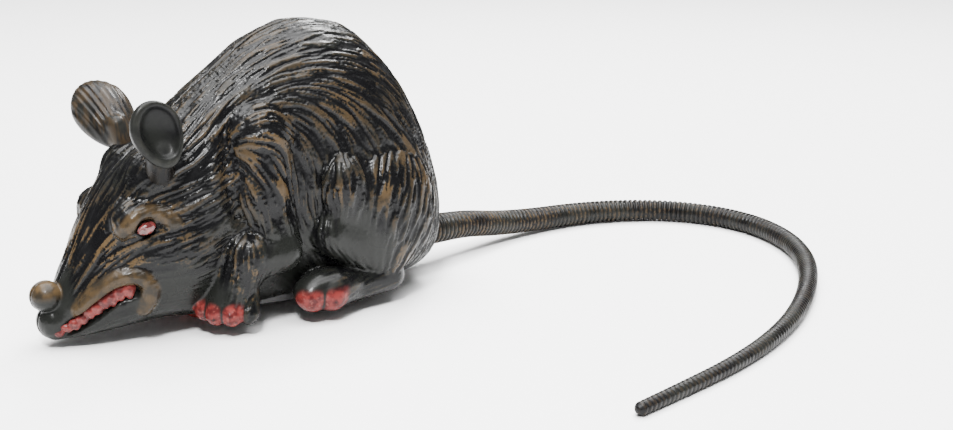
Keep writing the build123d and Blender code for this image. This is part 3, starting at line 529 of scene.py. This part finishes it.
def half_distance(side):
    """The distance function of one half: -1 left, 1 right."""

    def distance(p):
        q = left_side(p)
        cavity = smooth_min(trunk_distance(q) + TRUNK_WALL, near_ellipsoid(q, *THIGH) + THIGH_WALL, 2.0)
        cavity = np.maximum(cavity, CAVITY_FLOOR - q[:, 2])
        shape = np.maximum(outer_distance(p), np.minimum(-cavity, inside_parts(q)))
        cuts = np.minimum(plate_opening(q), np.linalg.norm(q - BALL_AT, axis=1) - SOCKET_R)
        slot = np.hypot(q[:, 1], q[:, 2] - BALL_AT[2]) - TAIL_SLOT_R
        slot -= TAIL_SLOT_SPLAY * np.maximum(q[:, 0] - TAIL_SLOT_FROM, 0.0)
        cuts = np.minimum(cuts, np.maximum(slot, BALL_AT[0] - q[:, 0]))
        for x, z, seat in BODY_SCREWS:
            end = -SCREW_DEPTH if side < 0 else -seat - 1.0
            cuts = np.minimum(cuts, np.maximum(rod_distance(q, x, z, SCREW_HOLE_R), end - q[:, 1]))
            if side > 0:
                cuts = np.minimum(cuts, np.maximum(rod_distance(q, x, z, COUNTERBORE_R), q[:, 1] + seat))
        if side > 0:
            key = np.maximum(rod_distance(q, *KEY_AT, KEY_HOLE_R), q[:, 1] + 5.0)
            cuts = np.minimum(cuts, key)
        return np.maximum(np.maximum(shape, -cuts), PARTING - side * p[:, 1])

    return distance


def painted_toes(q):
    """1 on the toes' fronts, 0 in the dark lines between them and elsewhere."""
    red = np.zeros(len(q))
    for toes, radii in PAINTED_TOES:
        away = np.sort([near_capsule(q, (a, radii[0]), (b, radii[1])) for a, b in toes], axis=0)
        outward = q - np.array(toes[0][0])
        ahead = ramp(-(outward[:, 0] * 0.6 + outward[:, 1] * 0.8) + 0.5 * (toes[0][0][2] - q[:, 2]), 0.0, 2.4)
        patch_here = ramp(away[0], 0.9, 0.3) * ramp(away[1] - away[0], 0.25, 0.9) * ahead
        red = np.maximum(red, patch_here * ramp(q[:, 2], *TOE_PAINT_TOP))
    return red


def build_half(name, side, material):
    """One hollow half with its fur, and the paint's masks as attributes."""
    x_limits, (outside, past_middle), z_limits = HALF_BOX
    y_limits = (-outside, past_middle) if side < 0 else (-past_middle, outside)
    low, high = list(zip(x_limits, y_limits, z_limits))
    points, quads = field_mesh(half_distance(side), low, high, VOXEL)
    near = np.abs(outer_distance(points)) < SKIN
    skin = points[near]
    normals = slopes(outer_distance, skin)
    zones = np.argmin(np.array(zone_distances(left_side(skin))), axis=0)
    raised, bare, height = fur(skin, normals, zones)
    edge = np.minimum(1.0, np.abs(skin[:, 1]) / 0.4)
    points[near] += normals * (height * edge)[:, None]
    piece = mesh_object(name, points, quads)
    q = left_side(skin)
    tan_paint = np.clip(coverage(q, TAN_PATCHES), 0.0, 1.0)
    toes = painted_toes(q)
    nose = ramp(near_ellipsoid(q, *NOSE), 1.0, 0.1) * ramp(q[:, 2], 15.0, 19.0)
    nose = np.maximum(nose, 0.7 * on_ridges(q))
    raised = raised * (1 - BARE_RAISE * bare)
    masks = {"raised": raised, "tan": tan_paint, "red": toes, "bare": bare, "nose": nose}
    for key, values in masks.items():
        everywhere = np.zeros(len(points))
        everywhere[near] = values
        set_attribute(piece, key, everywhere)
    side_name = "left" if side < 0 else "right"
    place_piece(piece, "body", material, [f"body_half_{side_name}"])
    print(name, len(quads))


# ---- ears, eyes and teeth ------------------------------------------------------------------------------

EAR_VOXEL = 0.36
# Each ear: centre, the way it faces, half width, half height, root.
EARS = {
    "left": ((-42.4, -22.0, 65.2), (-0.02, -0.98, 0.14), 7.7, 10.4, (-38.0, -12.0, 50.0)),
    "right": ((-40.2, 19.4, 64.8), (0.346, 0.675, -0.652), 8.9, 13.4, (-36.2, 7.5, 52.0)),
}
EAR_THICK = 6.0
EAR_MARGIN_LOW, EAR_MARGIN_HIGH = (15, 15, 22), (15, 15, 15)  # round the centre, for meshing
EAR_RIDGE_HEIGHT, EAR_RIDGE_TURN = 0.14, 3.6  # turn: radians of the wave to a millimetre
STALK_R = (3.4, 5.2)  # at the ear and at the head
BACK_PAINT = {"left": 0.25, "right": 0.9}


def ear_frame(centre, facing, half_w, half_h, root):
    """The ear's own axes as columns: across, up and outward."""
    front = np.array(facing) / np.linalg.norm(facing)
    down = np.array(root) - centre
    up = front * (down @ front) - down
    up /= np.linalg.norm(up)
    return np.stack([np.cross(up, front), up, front], axis=1)


def ear_bowl(q, half_w, half_h):
    """The hollow of the ear, in the ear's own axes."""
    return near_ellipsoid(q, (0.5, 0.5, 2.6), (half_w - 1.8, half_h - 2.1, 4.8))


def ear_distance(centre, facing, half_w, half_h, root):
    """A cupped ear: an egg-shaped shell on a stalk, ridged lengthwise on its back."""
    turn = ear_frame(centre, facing, half_w, half_h, root)
    up, front = turn[:, 1], turn[:, 2]
    stalk_from = np.array(centre) - front * 4.4 - up * half_h * 0.55

    def distance(p):
        q = (p - centre) @ turn
        q[:, 0] /= 1.0 - 0.17 * np.clip(-q[:, 1] / half_h, -0.4, 1.0)
        ridges = EAR_RIDGE_HEIGHT * np.sin(q[:, 0] * EAR_RIDGE_TURN) * ramp(q[:, 2], -0.4, -2.4)
        outer = near_ellipsoid(q, (0, 0, 0), (half_w, half_h, EAR_THICK)) + ridges
        outer = smooth_max(outer, q[:, 2] - 1.4 - 0.05 * q[:, 0], 1.2)
        bowl = ear_bowl(q, half_w, half_h)
        shape = smooth_max(outer, -bowl, 0.9)
        stalk = near_capsule(p, (stalk_from, STALK_R[0]), (np.array(root), STALK_R[1]))
        return smooth_min(shape, np.maximum(stalk, -bowl), 1.6)

    return distance


def build_ear(name, material):
    """One ear, with its paint's masks as attributes."""
    spec = EARS[name]
    centre = np.array(spec[0])
    low, high = centre - EAR_MARGIN_LOW, centre + EAR_MARGIN_HIGH
    points, quads = field_mesh(ear_distance(*spec), low, high, EAR_VOXEL)
    piece = mesh_object(f"ear_cup_{name}", points, quads)
    q = (points - centre) @ ear_frame(*spec)
    inside = ramp(ear_bowl(q, spec[2], spec[3]), 0.8, 0.3)
    set_attribute(piece, "rim", ramp(q[:, 2], 0.2, 1.4) * (1 - inside))
    set_attribute(piece, "back", ramp(q[:, 2], 0.2, -1.2) * (1 - inside) * BACK_PAINT[name])
    place_piece(piece, "body", material, [f"ear_{name}"])


EYE_RADII = (3.0, 1.9, 1.3)  # along, up and out
EYE_TILT, EYE_OUT, EYE_BACK = radians(18), 0.35, 0.9
EYE_RINGS, EYE_FACETS = 5, 13


def build_eye(name, side, material):
    """A cut gem of an eye: rings of facets on a flattened dome."""
    out = slopes(outer_distance, np.array([EYE]) + (0.0, -2.0, 0.0))[0]
    along = np.array([cos(EYE_TILT), 0.0, sin(EYE_TILT)])
    along -= out * (along @ out)
    along /= np.linalg.norm(along)
    up = np.cross(along, out)
    up *= 1 if up[2] > 0 else -1
    middle = np.array(EYE) + out * EYE_OUT
    random = np.random.default_rng(5)
    points, faces = [middle + out * EYE_RADII[2]], []
    rings, around = EYE_RINGS, EYE_FACETS
    for ring in range(1, rings + 1):
        tilt = pi * 0.62 * ring / rings
        for k in range(around):
            turn = 2 * pi * (k + 0.5 * (ring % 2)) / around
            size = 1.0 + random.uniform(-0.07, 0.07)
            spot = along * (EYE_RADII[0] * sin(tilt) * cos(turn))
            spot = spot + up * (EYE_RADII[1] * sin(tilt) * sin(turn))
            points.append(middle + (spot + out * (EYE_RADII[2] * cos(tilt))) * size)
    for k in range(around):
        faces.append((0, 1 + k, 1 + (k + 1) % around))
        for ring in range(rings - 1):
            a, b = 1 + ring * around, 1 + (ring + 1) * around
            faces.append((a + k, b + k, b + (k + 1) % around))
            faces.append((a + k, b + (k + 1) % around, a + (k + 1) % around))
    last = 1 + (rings - 1) * around
    points.append(middle - out * EYE_BACK)
    faces += [(last + (k + 1) % around, last + k, len(points) - 1) for k in range(around)]
    points = np.array(points)
    points[:, 1] *= -side
    faces = [f if side < 0 else f[::-1] for f in faces]
    piece = mesh_object(name, points, faces, smooth=False)
    place_piece(piece, "body", material)


TOOTH_PITCH = 2.45
TOOTH_HEIGHTS = (1.35, 2.5)  # half heights at the front and at the corner of the mouth
TOOTH_START, TOOTH_SUNK, TOOTH_VOXEL, TOOTH_MARGIN = 1.2, 1.25, 0.3, 4


def tooth_balls():
    """(centre, half height) of each tooth along the mouth, on the left."""
    line = np.array(TOOTH_LINE)
    runs = np.concatenate([[0.0], np.cumsum(np.linalg.norm(np.diff(line, axis=0), axis=1))])
    places = np.arange(TOOTH_START, runs[-1] + 1.0, TOOTH_PITCH)
    spots = np.stack([np.interp(places, runs, line[:, k]) for k in (0, 1)], axis=1)
    share = places / runs[-1]
    heights = TOOTH_HEIGHTS[0] + (TOOTH_HEIGHTS[1] - TOOTH_HEIGHTS[0]) * share
    return [(pressed([spot], TOOTH_SUNK)[0], height) for spot, height in zip(spots, heights)]


def build_teeth(name, side, material):
    """The painted gum and teeth of one side: a row of lumps that run together."""
    balls = tooth_balls()
    random = np.random.default_rng(11)
    uneven = random.uniform(-0.25, 0.25, (len(balls), 2))

    def distance(p):
        q = p * (1.0, -side, 1.0)
        shape = None
        for (centre, height), (shift, grow) in zip(balls, uneven):
            middle = np.array(centre) + (0.0, 0.0, shift)
            lump = near_ellipsoid(q, middle, (1.35 + grow * 0.3, 1.7, height + grow))
            gum = near_ellipsoid(q, middle + (0.0, 0.2, height * 0.3), (2.3, 1.5, height * 0.8))
            lump = smooth_min(lump, gum, 0.7)
            shape = lump if shape is None else smooth_min(shape, lump, 0.6)
        return shape

    centres = np.array([c for c, _ in balls])
    low, high = centres.min(0) - TOOTH_MARGIN, centres.max(0) + TOOTH_MARGIN
    if side > 0:
        low[1], high[1] = -high[1], -low[1]
    points, quads = field_mesh(distance, low, high, TOOTH_VOXEL)
    piece = mesh_object(name, points, quads)
    place_piece(piece, "body", material)


# ---- tail ----------------------------------------------------------------------------------------------

TAIL_ROUTE = [
    (58.0, 0.0, 13.4), (73.0, 0.4, 12.7), (90.0, 3.4, 11.4), (108.0, 7.4, 7.6), (128.0, 9.6, 5.2),
    (149.5, 8.0, 4.7), (169.5, 1.0, 4.4), (185.5, -11.6, 4.2), (194.5, -30.0, 4.0), (195.0, -50.0, 3.9),
    (187.0, -71.0, 3.8), (174.0, -88.5, 3.6), (157.5, -103.5, 3.4), (138.0, -117.2, 3.1),
    (117.0, -128.8, 2.9), (95.0, -137.4, 2.6), (73.0, -143.0, 2.3), (51.0, -146.4, 2.1), (29.0, -149.4, 2.0),
]
TAIL_ROOT_R, TAIL_TIP_R = 4.9, 2.0
FLARE, FLARE_REACH = 1.3, 0.06  # the tail swells towards the rump
RIB_PITCH, RIB_DEPTH = 2.0, 0.16
RING_STEP, RING_POINTS = 0.3, 32
SMOOTHINGS = 6  # passes over the centre line
ROOT_NECK = 6.0  # the tail is narrower over this length, inside the slot
SEAM_TURN, SEAM_WIDTH, SEAM_HEIGHT = 0.3, 0.16, 0.12
FLOOR_CLEARANCE = 0.02


def spline_points():
    """Points read from the tail's NURBS line, in millimetres."""
    curve = bpy.data.curves.new("tail_line", "CURVE")
    curve.dimensions = "3D"
    line = curve.splines.new("NURBS")
    line.points.add(len(TAIL_ROUTE) - 1)
    for point, place in zip(line.points, TAIL_ROUTE):
        point.co = (*[v * MM for v in place], 1.0)
    line.order_u = 3
    line.use_endpoint_u = True
    line.resolution_u = 12
    holder = bpy.data.objects.new("tail_line", curve)
    mesh = bpy.data.meshes.new_from_object(holder)
    points = np.array([v.co for v in mesh.vertices]) / MM
    bpy.data.objects.remove(holder)
    bpy.data.curves.remove(curve)
    bpy.data.meshes.remove(mesh)
    return points


def tail_frames(line, runs, total):
    """Places along the tail, with the centre, the side and the upward direction at each."""
    along = np.arange(0.0, total, RING_STEP)
    centres = np.stack([np.interp(along, runs, line[:, k]) for k in range(3)], axis=1)
    for _ in range(SMOOTHINGS):
        centres[1:-1] = (centres[:-2] + 2 * centres[1:-1] + centres[2:]) / 4
    ways = np.gradient(centres, axis=0)
    ways /= np.linalg.norm(ways, axis=1)[:, None]
    sides = np.cross(ways, (0.0, 0.0, 1.0))
    sides /= np.linalg.norm(sides, axis=1)[:, None]
    return along, centres, sides, np.cross(sides, ways)


def tail_sizes(along, total):
    """The radius at each place, how deep its groove is, and how the two ends are rounded."""
    radii = TAIL_ROOT_R + (TAIL_TIP_R - TAIL_ROOT_R) * (along / total) ** 1.25
    radii += FLARE * np.exp(-along / total / FLARE_REACH)
    radii *= 0.76 + 0.24 * ramp(along, 0.0, ROOT_NECK)
    random = np.random.default_rng(21)
    drift = np.cumsum(random.normal(0.0, 0.02, len(along)))
    phase = along / RIB_PITCH + drift * 0.35
    groove = (0.5 + 0.5 * np.cos(2 * pi * phase)) ** 3
    tip = np.clip((total - along) / (TAIL_TIP_R * 1.1), 0.0, 1.0)
    root = np.clip(along / 0.8, 0.0, 1.0)
    return radii, groove, np.sqrt(1 - (1 - tip) ** 2) * (0.9 + 0.1 * root)


def tube_faces(rings):
    """Quads between the rings, and a fan to a point at each end: the last two points."""
    faces = []
    for i in range(rings - 1):
        a, b = i * RING_POINTS, (i + 1) * RING_POINTS
        for k in range(RING_POINTS):
            n = (k + 1) % RING_POINTS
            faces.append((a + k, a + n, b + n, b + k))
    first_point, last_ring = rings * RING_POINTS, (rings - 1) * RING_POINTS
    for k in range(RING_POINTS):
        faces.append((first_point, (k + 1) % RING_POINTS, k))
    for k in range(RING_POINTS):
        faces.append((first_point + 1, last_ring + k, last_ring + (k + 1) % RING_POINTS))
    return faces


def build_tail(material):
    """A tapering tail with moulded rings and a seam along each side."""
    line = spline_points()
    runs = np.concatenate([[0.0], np.cumsum(np.linalg.norm(np.diff(line, axis=0), axis=1))])
    total = runs[-1]
    print("tail length", round(total, 1))
    along, centres, sides, ups = tail_frames(line, runs, total)
    radii, groove, round_off = tail_sizes(along, total)
    turns = 2 * pi * np.arange(RING_POINTS) / RING_POINTS
    seam = np.exp(-((np.abs(np.sin(turns + SEAM_TURN)) / SEAM_WIDTH) ** 2)) * SEAM_HEIGHT
    points, raised = [], []
    for i, centre in enumerate(centres):
        worn = 1.0 - RIB_DEPTH * groove[i] * (1.0 - 0.25 * np.cos(turns * 2 + along[i] * 0.11))
        size = (radii[i] * worn + seam) * round_off[i]
        across, upward = np.cos(turns) * size, np.sin(turns) * size
        points.append(centre + np.outer(across, sides[i]) + np.outer(upward, ups[i]))
        raised.append(np.full(RING_POINTS, 1.0 - groove[i]))
    points = np.concatenate(points)
    points[:, 2] = np.maximum(points[:, 2], FLOOR_CLEARANCE)
    points = np.concatenate([points, [centres[0], centres[-1]]])
    piece = mesh_object("tail_ribbed", points, tube_faces(len(centres)))
    set_attribute(piece, "raised", np.concatenate([*raised, [0.0, 0.0]]))
    share = np.concatenate([np.repeat(along / total, RING_POINTS), [0.0, 1.0]])
    set_attribute(piece, "share", share)
    place_piece(piece, "tail", material, ["tail"])


# ---- materials -----------------------------------------------------------------------------------------


class Nodes:
    """A short way to write a node material."""

    def __init__(self, name):
        self.material = bpy.data.materials.new(name)
        self.material.use_nodes = True
        self.tree = self.material.node_tree
        self.shader = self.tree.nodes["Principled BSDF"]
        self.place = self.tree.nodes.new("ShaderNodeTexCoord").outputs["Object"]

    def link(self, source, target):
        self.tree.links.new(source, target)

    def set(self, **values):
        for name, value in values.items():
            self.shader.inputs[name.replace("_", " ")].default_value = value

    def attribute(self, name):
        node = self.tree.nodes.new("ShaderNodeAttribute")
        node.attribute_name = name
        return node.outputs["Fac"]

    def noise(self, scale, detail=3.0, stretch=None):
        node = self.tree.nodes.new("ShaderNodeTexNoise")
        node.inputs["Scale"].default_value = scale
        node.inputs["Detail"].default_value = detail
        source = self.place
        if stretch:
            mapping = self.tree.nodes.new("ShaderNodeMapping")
            mapping.inputs["Scale"].default_value = stretch
            self.link(source, mapping.inputs["Vector"])
            source = mapping.outputs["Vector"]
        self.link(source, node.inputs["Vector"])
        return node.outputs["Fac"]

    def between(self, source, low, high, to_low=0.0, to_high=1.0):
        node = self.tree.nodes.new("ShaderNodeMapRange")
        node.interpolation_type = "SMOOTHSTEP"
        for key, value in zip(("From Min", "From Max", "To Min", "To Max"), (low, high, to_low, to_high)):
            node.inputs[key].default_value = value
        self.link(source, node.inputs["Value"])
        return node.outputs["Result"]

    def math(self, operation, a, b):
        node = self.tree.nodes.new("ShaderNodeMath")
        node.operation = operation
        node.use_clamp = operation in ("ADD", "MULTIPLY")
        for socket, value in zip(node.inputs, (a, b)):
            if isinstance(value, (int, float)):
                socket.default_value = value
            else:
                self.link(value, socket)
        return node.outputs["Value"]

    def mix(self, share, a, b):
        node = self.tree.nodes.new("ShaderNodeMix")
        node.data_type = "RGBA"
        sockets = [s for s in node.inputs if s.enabled]
        for socket, value in zip(sockets, (share, a, b)):
            if isinstance(value, tuple):
                socket.default_value = (*value, 1.0)
            else:
                self.link(value, socket)
        return [s for s in node.outputs if s.enabled][0]

    def bump(self, height, strength, distance):
        node = self.tree.nodes.new("ShaderNodeBump")
        node.inputs["Strength"].default_value = strength
        node.inputs["Distance"].default_value = distance
        self.link(height, node.inputs["Height"])
        self.link(node.outputs["Normal"], self.shader.inputs["Normal"])

    def finish(self, colour, roughness):
        self.link(colour, self.shader.inputs["Base Color"])
        self.link(roughness, self.shader.inputs["Roughness"])
        return self.material


# The second colour here is a dark grey: on the shell it is a painted sheen standing in for reflections of the
# lamps and the floor, on the ears and the tail a tone that differs at random.
BLACK, SHEEN_AND_TONE_GREY = (0.0022, 0.0022, 0.0025), (0.007, 0.0075, 0.0066)
BROWN, TAN, BRONZE = (0.026, 0.0175, 0.0095), (0.056, 0.035, 0.0155), (0.05, 0.032, 0.015)
RIM_GREY = (0.02, 0.02, 0.017)
RED, DARK_RED, PINK = (0.125, 0.019, 0.017), (0.05, 0.007, 0.007), (0.2, 0.055, 0.046)


def painted_shell():
    """Glossy black moulding with a painted grey sheen on the raised fur and smooth places, brown and tan
    paint dragged over the raised fur, and red toes.
    """
    m = Nodes("shell_painted")
    raised, tan_paint, red, bare, nose = [m.attribute(k) for k in ("raised", "tan", "red", "bare", "nose")]
    patches = m.noise(55.0, 4.0)
    flecks = m.noise(900.0, 2.0)
    # Painted sheen: the raised fur and the smooth places, among them the lower belly and jaw, turn from black
    # to a lighter grey, standing in for reflections of the lamps and the floor.
    grey = m.mix(m.between(m.math("ADD", raised, bare), 0.3, 1.0), BLACK, SHEEN_AND_TONE_GREY)
    tops = m.between(raised, 0.62, 0.95)
    drag = m.math("MULTIPLY", tops, m.between(flecks, 0.35, 0.6))
    brushed = m.math("MULTIPLY", drag, m.between(patches, 0.44, 0.64, 0.08, 0.85))
    colour = m.mix(brushed, grey, BROWN)
    fleck = m.between(flecks, 0.3, 0.7, 0.0, 0.25)
    relief = m.math("ADD", m.math("MULTIPLY", raised, 0.75), fleck)
    thick = m.math("MULTIPLY", tan_paint, m.between(relief, 0.56, 0.84))
    colour = m.mix(m.math("MULTIPLY", thick, m.between(patches, 0.3, 0.55, 0.45, 0.95)), colour, TAN)
    rubbed = m.between(m.noise(300.0, 3.0), 0.35, 0.6, 0.25, 0.9)
    colour = m.mix(m.math("MULTIPLY", nose, rubbed), colour, TAN)
    reds = m.mix(m.between(m.noise(420.0, 4.0), 0.38, 0.62), DARK_RED, RED)
    reds = m.mix(m.between(m.noise(700.0, 2.0), 0.56, 0.7, 0.0, 0.6), reds, PINK)
    colour = m.mix(m.math("MULTIPLY", red, m.between(m.noise(350.0, 3.0), 0.25, 0.42)), colour, reds)
    matt = m.math("ADD", m.math("MULTIPLY", brushed, 0.5), m.noise(160.0, 3.0))
    roughness = m.between(matt, 0.3, 1.0, 0.24, 0.5)
    m.bump(m.noise(1400.0, 3.0), 0.25, 0.0002)
    m.set(Coat_Weight=0.05, Coat_Roughness=0.1, Specular_IOR_Level=0.13)
    return m.finish(colour, roughness)


def ear_paint():
    """Black ears with a worn rim and brown lines on the back."""
    m = Nodes("ear_painted")
    rim, back = m.attribute("rim"), m.attribute("back")
    lines = m.noise(260.0, 3.0, stretch=(3.0, 1.0, 0.35))
    patches = m.noise(90.0, 4.0)
    colour = m.mix(m.between(patches, 0.4, 0.65), BLACK, SHEEN_AND_TONE_GREY)
    worn_rim = m.math("MULTIPLY", rim, m.between(m.noise(240.0), 0.4, 0.62, 0.1, 0.6))
    colour = m.mix(worn_rim, colour, RIM_GREY)
    colour = m.mix(m.math("MULTIPLY", back, m.between(lines, 0.42, 0.6, 0.05, 0.85)), colour, BROWN)
    m.bump(m.noise(1100.0, 3.0), 0.25, 0.0002)
    m.set(Coat_Weight=0.03, Coat_Roughness=0.15, Specular_IOR_Level=0.1)
    return m.finish(colour, m.between(patches, 0.3, 0.7, 0.24, 0.48))


def tail_paint():
    """Black with bronze rubbed over the ribs, most of it near the root."""
    m = Nodes("tail_painted")
    raised, share = m.attribute("raised"), m.attribute("share")
    streaks = m.noise(140.0, 4.0)
    flecks = m.noise(1000.0, 2.0)
    base = m.mix(m.between(m.noise(80.0), 0.4, 0.65), BLACK, SHEEN_AND_TONE_GREY)
    worn = m.math("MULTIPLY", m.between(raised, 0.55, 0.95), m.between(flecks, 0.4, 0.62))
    near_root = m.between(share, 0.55, 0.05, 0.25, 1.0)
    streaked = m.math("MULTIPLY", worn, m.between(streaks, 0.35, 0.6, 0.2, 0.9))
    amount = m.math("MULTIPLY", streaked, near_root)
    colour = m.mix(amount, base, BRONZE)
    m.bump(m.noise(1500.0, 2.0), 0.2, 0.0002)
    m.set(Coat_Weight=0.03, Coat_Roughness=0.25, Specular_IOR_Level=0.13)
    return m.finish(colour, m.between(streaks, 0.3, 0.7, 0.3, 0.55))


def red_paint(name, gloss):
    """Mottled red paint under a clear coat as strong as the gloss."""
    m = Nodes(name)
    colour = m.mix(m.between(m.noise(500.0, 4.0), 0.4, 0.62), DARK_RED, RED)
    colour = m.mix(m.between(m.noise(900.0, 2.0), 0.58, 0.72, 0.0, 0.45), colour, PINK)
    m.bump(m.noise(1200.0, 3.0), 0.3, 0.0002)
    m.set(Coat_Weight=gloss, Coat_Roughness=0.08, Specular_IOR_Level=0.18)
    return m.finish(colour, m.between(m.noise(300.0), 0.3, 0.7, 0.22, 0.45))


def metal(name, light, dark, rough=(0.2, 0.42), stretch=(1.0, 1.0, 6.0)):
    """Brushed or stamped metal with drawn lines and faint tarnish."""
    m = Nodes(name)
    lines = m.noise(900.0, 4.0, stretch=stretch)
    tarnish = m.noise(120.0, 4.0)
    colour = m.mix(m.between(tarnish, 0.38, 0.7), light, dark)
    m.bump(lines, 0.18, 0.00015)
    m.set(Metallic=1.0)
    dull = m.math("ADD", m.math("MULTIPLY", lines, 0.5), tarnish)
    return m.finish(colour, m.between(dull, 0.4, 1.0, *rough))


def moulded(name, light, dark, rough=(0.35, 0.6), grain=1200.0):
    """Moulded plastic or rubber with a fine grain and dust in patches."""
    m = Nodes(name)
    dust = m.noise(110.0, 4.0)
    colour = m.mix(m.between(dust, 0.42, 0.68), dark, light)
    m.bump(m.noise(grain, 3.0), 0.3, 0.0002)
    return m.finish(colour, m.between(dust, 0.3, 0.7, *rough))


def cad_materials():
    """A material for each slot that a CAD node keeps."""
    return {
        "base": moulded("base_plastic", (0.03, 0.03, 0.031), (0.012, 0.012, 0.013)),
        "tail": moulded("tail_ball_plastic", (0.03, 0.027, 0.022), (0.01, 0.01, 0.01)),
        "steel": metal("steel_bright", (0.62, 0.62, 0.63), (0.42, 0.41, 0.4), stretch=(1.0, 8.0, 1.0)),
        "spring_steel": metal("steel_blued", (0.22, 0.26, 0.36), (0.1, 0.11, 0.16), (0.18, 0.34)),
        "brass": metal("brass_worn", (0.78, 0.58, 0.25), (0.5, 0.34, 0.14)),
        "key": metal("key_nickel", (0.74, 0.72, 0.68), (0.5, 0.48, 0.44), (0.16, 0.36)),
        "hub": moulded("hub_plastic", (0.34, 0.045, 0.035), (0.2, 0.02, 0.018), (0.28, 0.45)),
        "tyre": moulded("tyre_rubber", (0.035, 0.034, 0.033), (0.012, 0.012, 0.012), (0.6, 0.85), 1800.0),
        "tin": metal("tinplate", (0.66, 0.67, 0.66), (0.45, 0.46, 0.45), (0.22, 0.4), (6.0, 1.0, 1.0)),
        "shell": moulded("shell_plain", (0.02, 0.02, 0.02), (0.008, 0.008, 0.008), (0.25, 0.4)),
        "ear": moulded("ear_plain", (0.02, 0.02, 0.02), (0.008, 0.008, 0.008), (0.25, 0.4)),
    }


def dress_cad_nodes():
    """Gives every node of the CAD model the material of its slot."""
    kinds = cad_materials()
    for part in frame["record"]["subparts"]:
        node = frame["nodes"][part["node"]]
        material = kinds[part["material_slot"]]
        if node.material_slots:
            for place in node.material_slots:
                place.material = material
        else:
            node.data.materials.append(material)


# ---- camera, lights and floor --------------------------------------------------------------------------

AZIMUTH, ELEVATION = radians(-38.46), radians(14.55)
AIM = Vector((0.0684, -0.0316, 0.0252))
DISTANCE = 0.4793
LENS, SENSOR = 53.12, 36.0


def add_camera():
    """A camera that looks at the rat's left side from a little above."""
    back = Vector((sin(AZIMUTH) * cos(ELEVATION), -cos(AZIMUTH) * cos(ELEVATION), sin(ELEVATION)))
    data = bpy.data.cameras.new("camera")
    data.lens, data.sensor_width = LENS, SENSOR
    data.clip_start, data.clip_end = 0.01, 20.0
    camera = bpy.data.objects.new("camera", data)
    camera.location = AIM + back * DISTANCE
    camera.rotation_euler = back.to_track_quat("Z", "Y").to_euler()
    bpy.context.scene.collection.objects.link(camera)
    bpy.context.scene.camera = camera


def add_light(name, place, aim, size, power):
    """A square lamp of this size (m) and power (W), turned towards its aim."""
    data = bpy.data.lights.new(name, "AREA")
    data.shape, data.size, data.energy = "SQUARE", size, power
    light = bpy.data.objects.new(name, data)
    light.location = place
    light.rotation_euler = (Vector(place) - Vector(aim)).to_track_quat("Z", "Y").to_euler()
    bpy.context.scene.collection.objects.link(light)


WORLD_STRENGTH, FLOOR_SIZE, FLOOR_GREY = 0.4, 6.0, 0.93


def add_stage():
    """A plain pale floor, an even white surround and three soft lamps."""
    world = bpy.data.worlds.new("studio")
    world.use_nodes = True
    world.node_tree.nodes["Background"].inputs["Color"].default_value = (1.0, 1.0, 1.0, 1.0)
    world.node_tree.nodes["Background"].inputs["Strength"].default_value = WORLD_STRENGTH
    bpy.context.scene.world = world
    bpy.ops.mesh.primitive_plane_add(size=FLOOR_SIZE, location=(0, 0, 0))
    floor = bpy.context.object
    floor.name = "floor"
    material = bpy.data.materials.new("pale_floor")
    material.use_nodes = True
    shader = material.node_tree.nodes["Principled BSDF"]
    shader.inputs["Base Color"].default_value = (FLOOR_GREY, FLOOR_GREY, FLOOR_GREY, 1.0)
    shader.inputs["Roughness"].default_value = 0.6
    floor.data.materials.append(material)
    add_light("overhead", (0.1, 0.1, 1.7), (0.05, 0.0, 0.0), 2.0, 175.0)
    add_light("key", (-0.42, -0.5, 0.95), (0.0, 0.0, 0.05), 0.2, 24.0)
    add_light("rim", (0.6, 0.35, 0.8), (0.02, 0.0, 0.05), 0.25, 12.0)


# ---- build ---------------------------------------------------------------------------------------------

add_camera()
build_tail(tail_paint())
shell_material = painted_shell()
build_half("shell_left", -1, shell_material)
build_half("shell_right", 1, shell_material)
ear_material = ear_paint()
eye_material, tooth_material = red_paint("eye_paint", 1.0), red_paint("tooth_paint", 0.1)
for side_name, side in (("left", -1), ("right", 1)):
    build_ear(side_name, ear_material)
    build_eye(f"eye_{side_name}", side, eye_material)
    build_teeth(f"teeth_{side_name}", side, tooth_material)
dress_cad_nodes()
add_stage()
